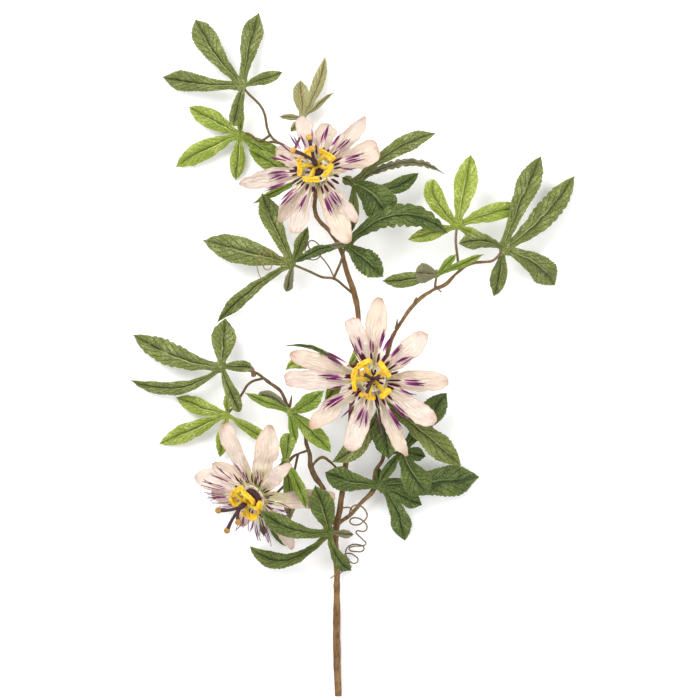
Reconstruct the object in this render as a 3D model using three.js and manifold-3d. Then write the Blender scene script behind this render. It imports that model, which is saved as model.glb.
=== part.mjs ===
// A passion flower spray, lying on a flat surface: three open blooms and twenty lobed leaves on one cut,
// branching stem. Millimetres, +Z up. The floor is z = 0, and the stem runs along Y with its cut end at -Y.
import * as THREE from 'three';
import { mergeVertices } from 'three/addons/utils/BufferGeometryUtils.js';
import Module from 'manifold-3d';

const wasm = await Module();
wasm.setup();

// Driving sizes, in millimetres.
const SEAT_GAP = 0.3;
const LEAF_THICKNESS = 1.0;
const PETAL_THICKNESS = 1.0;
const STEM_RADIUS_CUT = 2.45;
const STEM_RADIUS_TOP = 1.5;
const BRANCH_RADIUS = 1.75;
const BRANCH_RADIUS_END = 1.0;
const LEAF_STALK_RADIUS = 0.9;
const TENDRIL_RADIUS = 0.6;
const STALK_SIDES = 8;
const CUP_RADIUS = 6.5;
const CUP_DEPTH = 8;
const CUP_SIDES = 12;
const COLLAR_RADIUS = 9.5;
const COLLAR_HEIGHT = 3.2;
const RAY_COUNT = 20;
const RAY_REACH = 30;
const RAY_RISE = 2.6;
const RAY_WIDTH = 1.6;
const CROWN_RADIUS = 3.9;
const CROWN_TOP = 8;
const COLUMN_RADIUS = 1.7;
const COLUMN_HEIGHT = 20;
const ANTHER_HEIGHT = 13;
const ANTHER_REACH = 12.5;
const ANTHER_LENGTH = 14;
const ANTHER_THICKNESS = 3.4;
const THREAD_SIDES = 6;
const FILAMENT_RADIUS = 0.9;
const STYLE_RADIUS = 0.8;
const STIGMA_RADIUS = 2.4;

// Shape factors, as parts of a length or a half width.
const STATIONS = [0, 0.16, 0.4, 0.64, 0.82, 0.94];
const RAY_STATIONS = [0, 0.75];
const LEAF_CUPPING = 0.14;
const LEAF_BASE = 0.5;
const PETAL_CUPPING = 0.1;
const PETAL_BASE = 0.38;
const SEPAL_DROP = 1.9;
const PETAL_SEAT_RADIUS = 5.5;
const PETAL_SEAT_HEIGHT = 0.7;

const COLOURS = {
  darkLeaf: 0x5d7d3c,
  lightLeaf: 0x93ab45,
  paleLeaf: 0xa9ad78,
  petal: 0xf0e0d0,
  sepal: 0xe9ddb8,
  flowerCentre: 0xdfae28,
  stem: 0x8b6c3d,
  twig: 0x786736,
};

const UP = new THREE.Vector3(0, 0, 1);
const spray = new THREE.Group();

const point = (xyz) => new THREE.Vector3(...xyz);
const middle = (a, b) => a.clone().lerp(b, 0.5);

/** Turns a closed three.js geometry into a solid that can be joined and cut. */
function solid(geometry) {
  geometry.deleteAttribute('normal');
  geometry.deleteAttribute('uv');
  const merged = mergeVertices(geometry, 1e-4);
  return new wasm.Manifold(new wasm.Mesh({
    numProp: 3,
    vertProperties: new Float32Array(merged.attributes.position.array),
    triVerts: new Uint32Array(merged.index.array),
  }));
}

/** Adds the largest body of a solid to the spray as a named mesh. */
function addPiece(name, body, colour, roughness = 0.8) {
  const whole = body.decompose().sort((a, b) => b.volume() - a.volume())[0];
  const { vertProperties, triVerts } = whole.getMesh();
  const geometry = new THREE.BufferGeometry();
  geometry.setAttribute('position', new THREE.BufferAttribute(vertProperties, 3));
  geometry.setIndex(new THREE.BufferAttribute(triVerts, 1));
  const faceted = geometry.toNonIndexed();
  faceted.computeVertexNormals();
  const material = new THREE.MeshStandardMaterial({ color: colour, roughness, metalness: 0 });
  const mesh = new THREE.Mesh(faceted, material);
  mesh.name = name;
  spray.add(mesh);
}

/** A round stalk along a list of points, narrowing evenly from root to end. */
function stalk(points, rootRadius, endRadius, sides = STALK_SIDES) {
  const path = new THREE.CatmullRomCurve3(points.map(point), false, 'centripetal');
  const steps = Math.max(3, 2 * points.length, Math.min(40, Math.round(path.getLength() / 9)));
  const section = new THREE.Shape().absarc(0, 0, rootRadius, 0, 2 * Math.PI);
  const geometry = new THREE.ExtrudeGeometry(section, {
    steps,
    extrudePath: path,
    curveSegments: sides / 2,
  });
  const rings = path.getSpacedPoints(steps);
  const position = geometry.attributes.position;
  const corner = new THREE.Vector3();
  for (let i = 0; i < position.count; i += 1) {
    corner.fromBufferAttribute(position, i);
    const distances = rings.map((ring) => ring.distanceTo(corner));
    const nearest = distances.indexOf(Math.min(...distances));
    const scale = THREE.MathUtils.lerp(1, endRadius / rootRadius, nearest / steps);
    corner.sub(rings[nearest]).multiplyScalar(scale).add(rings[nearest]);
    position.setXYZ(i, corner.x, corner.y, corner.z);
  }
  return solid(geometry);
}

/** A thin six-sided stalk of one radius. */
const thinStalk = (points, radius) => stalk(points, radius, radius, THREAD_SIDES);

/** A thin stalk through places inside a bloom. */
const thread = (places, radius) => thinStalk(places.map((place) => place.toArray()), radius);

/** A stalk grown all round by the seat gap, to cut its neighbours with. */
const grownStalk = (points, rootRadius, endRadius) =>
  stalk(points, rootRadius + SEAT_GAP, endRadius + SEAT_GAP);

/** A curve from base to tip that passes through via at its middle. */
function archedCurve(base, via, tip) {
  const control = via.clone().multiplyScalar(2).sub(middle(base, tip));
  return new THREE.QuadraticBezierCurve3(base, control, tip);
}

/** Half width of a pointed leaf lobe at t, as a part of its greatest half width. */
const lobeOutline = (t) => LEAF_BASE * (1 - t) ** 3
  + Math.sin(Math.PI * t) ** 0.8 * (1 - LEAF_BASE * (1 - t) ** 3);

/** Half width of a blunt petal at t, as a part of its greatest half width. */
const petalOutline = (t) => PETAL_BASE * (1 - t) ** 3
  + Math.sin(Math.PI * t ** 1.2) ** 0.62 * (1 - PETAL_BASE * (1 - t) ** 3);

/** A thin blade along a curve: four corners to a section, closing to a point at the tip. */
function blade({ curve, width, outline, thickness, cupping, facing, stations = STATIONS }) {
  const corners = [];
  for (const t of stations) {
    const along = curve.getTangent(t);
    const face = facing.clone().addScaledVector(along, -facing.dot(along)).normalize();
    const side = new THREE.Vector3().crossVectors(along, face);
    const half = (width / 2) * outline(t);
    const centre = curve.getPoint(t);
    const lift = face.clone().multiplyScalar(cupping * half);
    const rise = face.clone().multiplyScalar(thickness / 2);
    corners.push(
      centre.clone().addScaledVector(side, -half).add(lift),
      centre.clone().add(rise),
      centre.clone().addScaledVector(side, half).add(lift),
      centre.clone().sub(rise),
    );
  }
  corners.push(curve.getPoint(1));
  const last = corners.length - 1;
  const faces = [0, 2, 1, 0, 3, 2];
  for (let ring = 0; ring < stations.length - 1; ring += 1) {
    for (let k = 0; k < 4; k += 1) {
      const a = 4 * ring + k;
      const b = 4 * ring + ((k + 1) % 4);
      faces.push(a, b, a + 4, b, b + 4, a + 4);
    }
  }
  for (let k = 0; k < 4; k += 1) {
    faces.push(last - 4 + k, last - 4 + ((k + 1) % 4), last);
  }
  const geometry = new THREE.BufferGeometry();
  const onTheFloorOrAbove = corners.flatMap((p) => [p.x, p.y, Math.max(0, p.z)]);
  geometry.setAttribute('position', new THREE.Float32BufferAttribute(onTheFloorOrAbove, 3));
  geometry.setIndex(faces);
  return solid(geometry);
}

/** Joins a list of solids into one. */
const join = (parts) => parts.reduce((whole, part) => whole.add(part));

// ---------------------------------------------------------------------------------------------- stems

const mainStemPath = [
  [-10, -240, 2.6], [-11, -208, 4], [-11, -167, 8], [-11, -151, 9], [-12, -126, 12], [-9, -109, 14],
  [-7, -95, 15], [-5, -79, 16], [-2, -53, 18], [1, -12, 21], [4, 26, 24], [2, 40, 26], [-4, 58, 28],
  [-9, 75, 31], [-16, 86, 34], [-23, 93, 36], [-26, 99, 37], [-25.5, 112, 38.5], [-22.9, 122.4, 41.9],
];
const rightBranchPath = [
  [-11, -119, 12], [0, -111, 12], [5, -105, 12], [15, -94, 13], [16, -82, 13.5], [21, -74, 14],
  [22, -53, 15], [23, -25, 19], [26, 7, 23], [33, 21, 26], [44, 36, 28], [56, 45, 29], [65, 49, 29],
  [72, 56, 28.5], [82, 63, 28], [96.5, 65, 27],
];
const leftBranchPath = [
  [-13, -119, 13], [-16, -105, 15], [-21, -93, 16], [-26, -86, 17], [-29, -79, 19], [-30, -70, 21],
  [-32, -63, 22], [-34, -50, 23], [-39, -43, 24], [-45, -37, 24.5], [-50, -26, 24], [-59, -19, 23],
  [-66, -13.5, 22],
];
const lowerFlowerStalkPath = [
  [-31, -67, 21], [-37, -69, 25], [-41, -71, 28], [-46, -76, 32], [-51, -80, 35], [-56, -88, 38],
  [-60.7, -93.0, 39.5],
];
const middleFlowerStalkPath = [[-2, -50, 18], [4, -38, 23], [11, -24, 31], [14, -17, 41.5]];
const sideTwigPath = [
  [-28, -78, 19], [-25, -74, 19.5], [-21, -72, 19], [-17, -74, 18], [-10, -81, 16], [-6, -86, 15.5],
];

const mainStemCutter = grownStalk(mainStemPath, STEM_RADIUS_CUT, STEM_RADIUS_TOP);
const rightBranchCutter = grownStalk(rightBranchPath, BRANCH_RADIUS, BRANCH_RADIUS_END);
const leftBranchCutter = grownStalk(leftBranchPath, BRANCH_RADIUS, BRANCH_RADIUS_END);
const lowerStalkCutter = grownStalk(lowerFlowerStalkPath, BRANCH_RADIUS_END, BRANCH_RADIUS_END);
const middleStalkCutter = grownStalk(middleFlowerStalkPath, BRANCH_RADIUS_END, BRANCH_RADIUS_END);
const twigCutter = grownStalk(sideTwigPath, LEAF_STALK_RADIUS, LEAF_STALK_RADIUS);
const stemCutters = [mainStemCutter, rightBranchCutter, leftBranchCutter, lowerStalkCutter, twigCutter];

const mainStem = stalk(mainStemPath, STEM_RADIUS_CUT, STEM_RADIUS_TOP);
const rightBranch = stalk(rightBranchPath, BRANCH_RADIUS, BRANCH_RADIUS_END).subtract(mainStemCutter);
const leftBranch = stalk(leftBranchPath, BRANCH_RADIUS, BRANCH_RADIUS_END).subtract(mainStemCutter);
const lowerFlowerStalk = stalk(lowerFlowerStalkPath, BRANCH_RADIUS_END, BRANCH_RADIUS_END)
  .subtract(leftBranchCutter);
const middleFlowerStalk = stalk(middleFlowerStalkPath, BRANCH_RADIUS_END, BRANCH_RADIUS_END)
  .subtract(mainStemCutter);
const sideTwig = stalk(sideTwigPath, LEAF_STALK_RADIUS, LEAF_STALK_RADIUS)
  .subtract(leftBranchCutter)
  .subtract(mainStemCutter);

addPiece('main_stem', mainStem, COLOURS.stem);
addPiece('right_branch', rightBranch, COLOURS.stem);
addPiece('left_branch', leftBranch, COLOURS.stem);
addPiece('lower_flower_stalk', lowerFlowerStalk, COLOURS.stem);
addPiece('middle_flower_stalk', middleFlowerStalk, COLOURS.stem);
addPiece('side_twig', sideTwig, COLOURS.twig);

// --------------------------------------------------------------------------------------------- blooms

/** The frame of a bloom: where its petals spring from, and which way it faces. */
class Bloom {
  constructor(name, centre, axis) {
    this.name = name;
    this.centre = point(centre);
    this.axis = point(axis).normalize();
    this.turn = new THREE.Quaternion().setFromUnitVectors(UP, this.axis);
  }

  /** A point given by its distance from the axis, its angle in degrees and its height. */
  at(radius, angle, height) {
    const radians = THREE.MathUtils.degToRad(angle);
    return new THREE.Vector3(radius * Math.cos(radians), radius * Math.sin(radians), height)
      .applyQuaternion(this.turn)
      .add(this.centre);
  }

  /** Stands a geometry made round +Z on this bloom's axis. */
  place(geometry) {
    const placed = geometry.applyQuaternion(this.turn);
    return solid(placed.translate(this.centre.x, this.centre.y, this.centre.z));
  }

  /** The green cup and the collar above the petals, larger all round by a margin. */
  cup(margin) {
    const profile = [
      [0, -CUP_DEPTH - margin], [2 + margin, -CUP_DEPTH - margin], [5 + margin, -5],
      [CUP_RADIUS + margin, -2.5], [CUP_RADIUS + margin, COLLAR_HEIGHT - margin],
      [COLLAR_RADIUS, COLLAR_HEIGHT - margin],
      [COLLAR_RADIUS, COLLAR_HEIGHT + 1], [3, COLLAR_HEIGHT + 2.4], [0, COLLAR_HEIGHT + 2.4],
    ];
    const lathe = new THREE.LatheGeometry(profile.map(([r, z]) => new THREE.Vector2(r, z)), CUP_SIDES);
    return this.place(lathe.rotateX(Math.PI / 2));
  }

  /** The ring of threads above the petals, as one tapering spike for each bundle of threads. */
  corona() {
    const rays = [];
    for (let i = 0; i < RAY_COUNT; i += 1) {
      const angle = (360 * i) / RAY_COUNT;
      const base = this.at(COLLAR_RADIUS - 1.5, angle, COLLAR_HEIGHT + 0.5);
      const tip = this.at(RAY_REACH, angle, COLLAR_HEIGHT + RAY_RISE);
      rays.push(blade({
        curve: archedCurve(base, middle(base, tip), tip),
        width: RAY_WIDTH,
        outline: () => 1,
        thickness: RAY_WIDTH / 2,
        cupping: 0,
        facing: this.axis,
        stations: RAY_STATIONS,
      }));
    }
    return join(rays);
  }

  /** An upright cylinder on this bloom's axis, from the petals to a height. */
  post(radius, height) {
    const cylinder = new THREE.CylinderGeometry(radius, radius, height, 10);
    return this.place(cylinder.rotateX(Math.PI / 2).translate(0, 0, height / 2));
  }

  /** The column with the dark crown at its foot and its five hinged anthers. */
  column(firstAnther) {
    const parts = [this.post(COLUMN_RADIUS, COLUMN_HEIGHT), this.post(CROWN_RADIUS, CROWN_TOP)];
    for (let i = 0; i < 5; i += 1) {
      const angle = firstAnther + 72 * i;
      const knee = this.at(ANTHER_REACH * 0.55, angle, ANTHER_HEIGHT + 1.5);
      const root = this.at(0, angle, ANTHER_HEIGHT - 1);
      const head = this.at(ANTHER_REACH, angle, ANTHER_HEIGHT);
      parts.push(thread([root, knee, head], FILAMENT_RADIUS));
      const lobe = new THREE.SphereGeometry(1, 8, 5)
        .scale(ANTHER_THICKNESS / 2, ANTHER_LENGTH / 2, ANTHER_THICKNESS / 2)
        .translate(ANTHER_REACH, 0, ANTHER_HEIGHT)
        .rotateZ(THREE.MathUtils.degToRad(angle));
      parts.push(this.place(lobe));
    }
    return join(parts);
  }

  /** The three styles, each ending in a round stigma. */
  styles(stigmas) {
    const root = this.at(0, 0, COLUMN_HEIGHT - 1);
    const parts = stigmas.map((xyz) => {
      const end = point(xyz);
      const knee = middle(root, end).addScaledVector(this.axis, 2.5);
      const ball = new THREE.IcosahedronGeometry(STIGMA_RADIUS, 1).translate(...xyz);
      return thread([root, knee, end], STYLE_RADIUS).add(solid(ball));
    });
    return join(parts);
  }

  /** Adds the centre of the bloom as one body, seated on its stalk. */
  addCentre(firstAnther, stigmas, stalkCutter) {
    const parts = [this.cup(0), this.corona(), this.column(firstAnther), this.styles(stigmas)];
    addPiece(`${this.name}_centre`, join(parts).subtract(stalkCutter), COLOURS.flowerCentre, 0.6);
  }

  /** Adds one petal or sepal. Its tip is a place in the spray, and its arch lifts its middle. */
  addPetal(label, isSepal, tip, width, arch) {
    const end = point(tip);
    const drop = isSepal ? SEPAL_DROP : 0;
    const reach = end.clone().sub(this.centre);
    const outward = reach.clone().addScaledVector(this.axis, -reach.dot(this.axis)).normalize();
    const base = this.centre.clone()
      .addScaledVector(outward, PETAL_SEAT_RADIUS)
      .addScaledVector(this.axis, PETAL_SEAT_HEIGHT - drop);
    const via = middle(base, end).addScaledVector(this.axis, arch - drop / 2);
    const body = blade({
      curve: archedCurve(base, via, end),
      width,
      outline: petalOutline,
      thickness: PETAL_THICKNESS,
      cupping: PETAL_CUPPING,
      facing: this.axis.clone().addScaledVector(UP, 0.4),
    });
    const kind = isSepal ? 'sepal' : 'petal';
    const colour = isSepal ? COLOURS.sepal : COLOURS.petal;
    addPiece(`${this.name}_${kind}_${label}`, body.subtract(this.cup(SEAT_GAP)), colour, 0.7);
  }
}

// Petal rows: number, whether it is a sepal, tip, width and the arch of its middle.
const upperFlower = new Bloom('upper_flower', [-24, 126, 50], [-0.127, 0.403, 0.906]);
upperFlower.addCentre(18, [[-30, 150, 73], [-41, 141, 70], [-28, 142, 76]], mainStemCutter);
const upperPetals = [
  [1, true, [18, 146, 42], 14, 1.5], [1, false, [10, 165, 33], 10, 2], [2, true, [-16, 161, 20], 14, 4],
  [2, false, [-37, 166, 22], 11, 3], [3, true, [-54, 142, 20], 13, 5], [3, false, [-77, 117, 41], 12, 2],
  [4, true, [-50, 93, 46], 10, 4], [4, false, [-40, 84, 58], 11, 3], [5, true, [-3, 78, 63], 14, 2.5],
  [5, false, [3, 92, 62], 10, 2],
];

const middleFlower = new Bloom('middle_flower', [14, -17, 50], [0, 0, 1]);
middleFlower.addCentre(27, [[7, -13, 72], [20, -14, 72], [9, -28, 72]], middleStalkCutter);
const middlePetals = [
  [1, true, [67, -19, 46], 14, 1], [1, false, [51, 16, 49], 14, 0.5], [2, true, [19, 40, 46], 13, 1],
  [2, false, [-2, 25, 49], 12, 0.5], [3, true, [-43, 0, 44], 11, 1], [3, false, [-47, -18, 46], 12, 1],
  [4, true, [-29, -51, 45], 13, 1], [4, false, [-2, -67, 48], 14, 0.5], [5, true, [38, -70, 45], 9, 1],
  [5, false, [58, -48, 48], 14, 0.5],
];

const lowerFlower = new Bloom('lower_flower', [-66, -97, 45], [-0.61, -0.46, 0.64]);
lowerFlower.addCentre(60, [[-93, -108, 60], [-79, -116, 64], [-87, -122, 58]], lowerStalkCutter);
const lowerPetals = [
  [1, false, [-90, -49, 47], 12, 1.5], [1, true, [-58, -50, 62], 16, 3], [2, false, [-42, -77, 68], 13, 2],
  [2, true, [-12, -99, 32], 12, 4], [3, false, [-41, -135, 33], 11, 0.5], [3, true, [-54, -121, 18], 9, 3],
  [4, false, [-77, -120, 14], 9, 0.5], [4, true, [-99, -97, 9], 9, 0.5],
  [5, false, [-110, -85, 17], 11, 0], [5, true, [-99, -75, 18], 10, 1],
];

const petalRows = [[upperFlower, upperPetals], [middleFlower, middlePetals], [lowerFlower, lowerPetals]];
for (const [bloom, rows] of petalRows) {
  for (const row of rows) bloom.addPetal(...row);
}

// --------------------------------------------------------------------------------------------- leaves

/**
 * Adds one leaf: its lobes spring from the hub, and its stalk runs from the hub to the stem.
 * A lobe is its tip, its greatest width and, where it bends, the place its middle passes through.
 */
function addLeaf(name, colour, hub, lobes, stalkPoints, neighbours = []) {
  const centre = point(hub);
  const parts = lobes.map(([tip, width, via]) => {
    const end = point(tip);
    const arch = 0.06 * centre.distanceTo(end);
    const through = via ? point(via) : middle(centre, end).addScaledVector(UP, arch);
    return blade({
      curve: archedCurve(centre, through, end),
      width,
      outline: lobeOutline,
      thickness: LEAF_THICKNESS,
      cupping: LEAF_CUPPING,
      facing: UP,
    });
  });
  parts.push(thinStalk([hub, ...stalkPoints], LEAF_STALK_RADIUS));
  const cutters = [...stemCutters, ...neighbours];
  const seated = cutters.reduce((body, cutter) => body.subtract(cutter), join(parts));
  addPiece(name, seated, colour);
}

const topLeftStalk = [
  [-75, 185, 16], [-63, 172, 15], [-58, 154, 14], [-53, 149, 14.5], [-47, 146, 15], [-36, 136, 18],
  [-31, 124, 26], [-26, 108.5, 37.3],
];
const topLeftHub = [-77, 188, 16];
addLeaf('leaf_top_left', COLOURS.darkLeaf, topLeftHub, [
  [[-110, 236, 0], 18, [-97, 212, 15]], [[-66, 240, 4], 16, [-74, 208, 14]],
  [[-133, 194, 0], 15, [-107, 190, 13]], [[-49, 198, 12], 9], [[-82, 163, 18], 8],
], topLeftStalk);
const topLeftCutter = grownStalk(
  [topLeftHub, ...topLeftStalk],
  LEAF_STALK_RADIUS,
  LEAF_STALK_RADIUS,
);

addLeaf('leaf_upper_left_light', COLOURS.lightLeaf, [-79, 154, 9], [
  [[-115, 174, 3], 14], [[-124, 132, 0], 15, [-103, 144, 7]], [[-82, 122, 2], 11],
  [[-44, 130, 8], 15, [-63, 144, 8]], [[-82, 174, 7], 6, [-80, 165, 8]],
], [[-74, 155, 9], [-65, 150, 10.5], [-58.5, 153, 13.8]], [topLeftCutter]);

addLeaf('leaf_behind_upper_flower', COLOURS.lightLeaf, [-37, 122, 18], [
  [[-73, 144, 16], 12, [-53, 131, 17.5]], [[-70, 106, 12], 6], [[-42, 98, 13], 7],
], [[-34, 115, 27], [-26.2, 111, 37.7]], [topLeftCutter]);

addLeaf('leaf_top_pale', COLOURS.paleLeaf, [-35, 166, 12], [
  [[-37, 193, 8], 12], [[-19, 209, 4], 9, [-26, 185, 10]], [[-13, 184, 8], 4], [[-51, 167, 14], 5],
  [[-43, 156, 12], 6],
], [[-37, 152, 11], [-40, 145, 13], [-40.5, 140.5, 16.5]], [topLeftCutter]);

addLeaf('leaf_upper_middle', COLOURS.darkLeaf, [1, 119, 26], [
  [[58, 155, 22], 13, [26, 141, 28]], [[64, 126, 24], 7, [35, 130, 27]],
  [[46, 127, 20], 11, [24, 116, 25]], [[24, 97, 31], 22, [14, 111, 31]], [[0, 86, 28], 8],
  [[-7, 124, 25], 8],
], [[-4, 100, 27], [-12, 81.5, 32]]);

const wavyHub = [-5, 76, 42];
const middleLeftHub = [-42, 63, 26];
const middleLeftStalk = [[-30, 58, 27], [-21, 54, 28], [-13, 53, 28], [-5, 47, 27], [1.5, 41.5, 26]];
const middleLeftCutter = grownStalk(
  [middleLeftHub, ...middleLeftStalk],
  LEAF_STALK_RADIUS,
  LEAF_STALK_RADIUS,
);
addLeaf('leaf_wavy_middle', COLOURS.darkLeaf, wavyHub, [
  [[66, 85, 38], 15, [30, 93, 43]], [[21, 54, 43], 16, [5, 66, 45]], [[-40, 64, 38], 7, [-24, 72, 42]],
], [[-8, 65, 38], [-11, 58, 33], [-13, 53.5, 28.5]], [middleLeftCutter]);

addLeaf('leaf_left_middle', COLOURS.darkLeaf, middleLeftHub, [
  [[-105, 79, 6], 20, [-75, 71, 20]], [[-63, 113, 22], 16, [-54, 89, 26]], [[-31, 89, 30], 8],
  [[-95, 23, 3], 10, [-67, 47, 17]], [[-46, 44, 14], 6],
], middleLeftStalk);

addLeaf('leaf_right_light', COLOURS.lightLeaf, [73, 90, 32], [
  [[57, 122, 34], 14, [58, 108, 36]], [[83, 140, 24], 17], [[120, 103, 17], 13, [97, 99, 25]],
  [[39, 80, 29], 11], [[93, 80, 26], 8],
], [[72, 80, 32], [73, 70, 31], [74.5, 58, 28.5]]);

addLeaf('leaf_right_tip', COLOURS.darkLeaf, [105, 74, 28], [
  [[132, 139, 10], 17, [117, 105, 24]], [[156, 124, 0], 16, [130, 93, 18]],
  [[142, 49, 0], 19, [127, 63, 17]], [[99, 41, 10], 12, [103, 57, 21]], [[74, 77, 41], 12, [91, 79, 39]],
], [[101, 68, 27.5], [97.2, 65, 27]]);

addLeaf('leaf_small_right', COLOURS.paleLeaf, [59, 56, 36], [
  [[21, 51, 37], 11, [42, 52.5, 39]], [[44, 57, 39], 15], [[72, 70, 37], 5], [[92, 70, 32.5], 6],
], [[58, 51, 34], [57.5, 45.8, 29]]);

addLeaf('leaf_far_left', COLOURS.darkLeaf, [-92, -9, 18], [
  [[-154, 14, 0], 14, [-122, -1, 13]], [[-156, -18, 0], 9, [-122, -23, 13]], [[-89, 25, 13], 17],
  [[-70, -9, 27], 9, [-81, -8, 24]], [[-79, -40, 25], 9],
], [[-79, -10, 20.5], [-66.8, -13, 22]]);

const leftLightStalk = [[-82, -35, 14], [-77, -27, 16], [-72, -20, 19], [-62, -16.5, 22.5]];
addLeaf('leaf_left_light', COLOURS.lightLeaf, [-88, -42, 12], [
  [[-124, -30, 2], 12, [-106, -37, 9]], [[-136, -63, 0], 13, [-113, -53, 8]], [[-93, -72, 7], 10],
  [[-56, -62, 14], 9], [[-88, -27, 9], 6],
], leftLightStalk);

addLeaf('leaf_centre_left', COLOURS.lightLeaf, [-44, -40, 32], [
  [[-75, -27, 30], 6], [[-68, -33, 29], 6], [[-20, -25, 53], 12, [-33, -35, 44]],
  [[-15, -68, 36], 13, [-27, -55, 36]], [[-39, -62, 33], 7],
], [[-44.5, -37.5, 24.5]]);

addLeaf('leaf_beside_lower_flower', COLOURS.lightLeaf, [-47, -74, 40], [
  [[-44, -56, 38], 11], [[-53, -84, 45], 4], [[-32, -107, 47], 8, [-38, -90, 45]],
  [[-44, -117, 18], 10, [-44, -94, 28]],
], [[-46.5, -76, 32]]);

addLeaf('leaf_behind_lower_flower', COLOURS.darkLeaf, [-63, -105, 5], [
  [[-98, -91, 1], 8], [[-90, -104, 1], 7], [[-62, -128, 3], 7], [[-47, -135, 2], 9],
], [[-52, -96, 14], [-42, -84, 22], [-38, -69.5, 25.5]]);

addLeaf('leaf_behind_middle_flower', COLOURS.lightLeaf, [-5, -12, 29], [
  [[10, 18.5, 32], 7, [5, 4, 31]], [[-45, 7, 31], 4, [-24, 4, 31]],
  [[-46, -12, 29], 11, [-29, -5, 30]], [[-19, -33, 28], 8],
], [[0.8, -12, 21]]);

addLeaf('leaf_below_middle_flower', COLOURS.darkLeaf, [21, -33, 30], [
  [[-14, -75, 27], 14, [7, -60, 31]], [[25, -73, 32], 18], [[76, -78, 30], 17, [47, -53, 32]],
], [[22.5, -33, 17.8]]);

addLeaf('leaf_lower_right', COLOURS.darkLeaf, [35, -67, 22], [
  [[66, -27, 19], 16], [[53, -98, 25], 18, [42, -81, 25]], [[18, -90, 25], 8], [[25, -42, 21], 8],
  [[51, -71, 20], 9],
], [[29, -69, 18], [21.3, -70, 14.2]]);

addLeaf('leaf_bottom_right', COLOURS.darkLeaf, [19, -91, 18], [
  [[-19, -82, 22], 15, [0, -87, 22]], [[37, -131, 0], 12, [28, -107, 13]],
  [[89, -86, 0], 18, [54, -91, 13]], [[49, -106, 8], 10], [[18, -78, 21], 6],
], [[16, -88, 13.2]]);

addLeaf('leaf_bottom_left', COLOURS.darkLeaf, [-16, -124, 29], [
  [[-26, -91, 45], 18, [-20, -108, 39]], [[-64, -108, 63], 14, [-40, -122, 52]],
  [[-72, -135, 0], 12, [-46, -144, 16]], [[-1, -152, 3], 11, [-12, -139, 21]], [[2, -126, 25], 6],
], [[-14, -125, 22], [-12, -126, 12]]);

// -------------------------------------------------------------------------------------------- tendril

// The turns of the tendril seen from above, from the main stem to its free tail.
const TENDRIL_TURNS = [
  [-8.4, -107.2], [-0.3, -108.9], [-1.8, -112.3], [0.4, -106.1], [5.3, -106], [8.8, -108.9], [10.2, -113.1],
  [8, -116.6], [3.1, -119.4], [-1.8, -117.3], [-1, -115.2], [3.1, -114.5], [7.4, -116.6], [10.2, -120.8],
  [8.8, -123.6], [2.4, -124.3], [3.1, -125.7], [7.4, -129.9], [9.4, -132.7], [6.7, -134.1], [-0.4, -134.8],
  [-2.5, -136.2], [3.2, -138.3], [7.4, -137.6], [8, -135.5], [3.9, -133.4], [-1.8, -134.1], [-4.6, -137.6],
  [-3.9, -142.5], [-1.8, -145.3], [2, -146.6], [3.9, -144.6], [1.1, -141], [-3.2, -139.7], [-6.7, -141.8],
  [-5.3, -146], [-1.1, -149.5], [-5.3, -151.2], [-9, -154],
];
const TENDRIL_FOOT = 14;
const TENDRIL_TOP = 20;
const TENDRIL_TAIL = 1.5;

/** The tendril rises from the main stem and sinks evenly through its turns to the floor. */
function tendrilPoints() {
  const last = TENDRIL_TURNS.length - 1;
  return TENDRIL_TURNS.map(([x, y], i) => {
    const height = THREE.MathUtils.lerp(TENDRIL_TOP, TENDRIL_TAIL, i / last);
    return [x, y, i === 0 ? TENDRIL_FOOT : height];
  });
}
const tendril = thinStalk(tendrilPoints(), TENDRIL_RADIUS).subtract(mainStemCutter);
addPiece('tendril', tendril, COLOURS.twig);

export default spray;
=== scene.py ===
"""Dresses the passion flower spray: petals, coronas, leaves, stems and tendril, and sets the studio.

Every place below is in millimetres in the frame's own axes and is turned to metres when a mesh is made.
"""

import logging
import math
import random
from collections.abc import Callable, Sequence
from dataclasses import dataclass, field
from enum import Enum

import bmesh
import bpy
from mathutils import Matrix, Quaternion, Vector


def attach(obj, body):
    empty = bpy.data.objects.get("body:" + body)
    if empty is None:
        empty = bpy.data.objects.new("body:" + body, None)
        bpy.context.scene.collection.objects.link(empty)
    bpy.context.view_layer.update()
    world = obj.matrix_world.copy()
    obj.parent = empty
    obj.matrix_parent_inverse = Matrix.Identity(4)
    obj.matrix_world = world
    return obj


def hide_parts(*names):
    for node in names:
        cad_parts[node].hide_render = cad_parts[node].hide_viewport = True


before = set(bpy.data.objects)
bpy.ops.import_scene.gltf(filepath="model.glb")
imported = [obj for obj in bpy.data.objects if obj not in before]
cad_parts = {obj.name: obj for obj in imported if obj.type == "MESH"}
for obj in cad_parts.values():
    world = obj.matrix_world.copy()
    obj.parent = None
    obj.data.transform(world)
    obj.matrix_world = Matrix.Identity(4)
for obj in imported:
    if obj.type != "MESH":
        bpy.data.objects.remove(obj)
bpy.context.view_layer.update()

log = logging.getLogger("spray")

MM = 0.001
Place = tuple[float, float, float]
Colour = tuple[float, float, float, float]
UP = Vector((0.0, 0.0, 1.0))
RANDOM_SEED = 7
FLOOR_GAP = 0.02
SAME_PLACE = 1e-4


def rgb(red: float, green: float, blue: float) -> Colour:
    """Turns a screen colour of 0 to 255 into a linear colour.

    Args:
        red: The red part.
        green: The green part.
        blue: The blue part.

    Returns:
        The linear colour with full alpha.
    """
    parts = [value / 255.0 for value in (red, green, blue)]
    linear = [part / 12.92 if part <= 0.04045 else ((part + 0.055) / 1.055) ** 2.4 for part in parts]
    return (linear[0], linear[1], linear[2], 1.0)


# ------------------------------------------------------------------------------------------- shader kit


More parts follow.
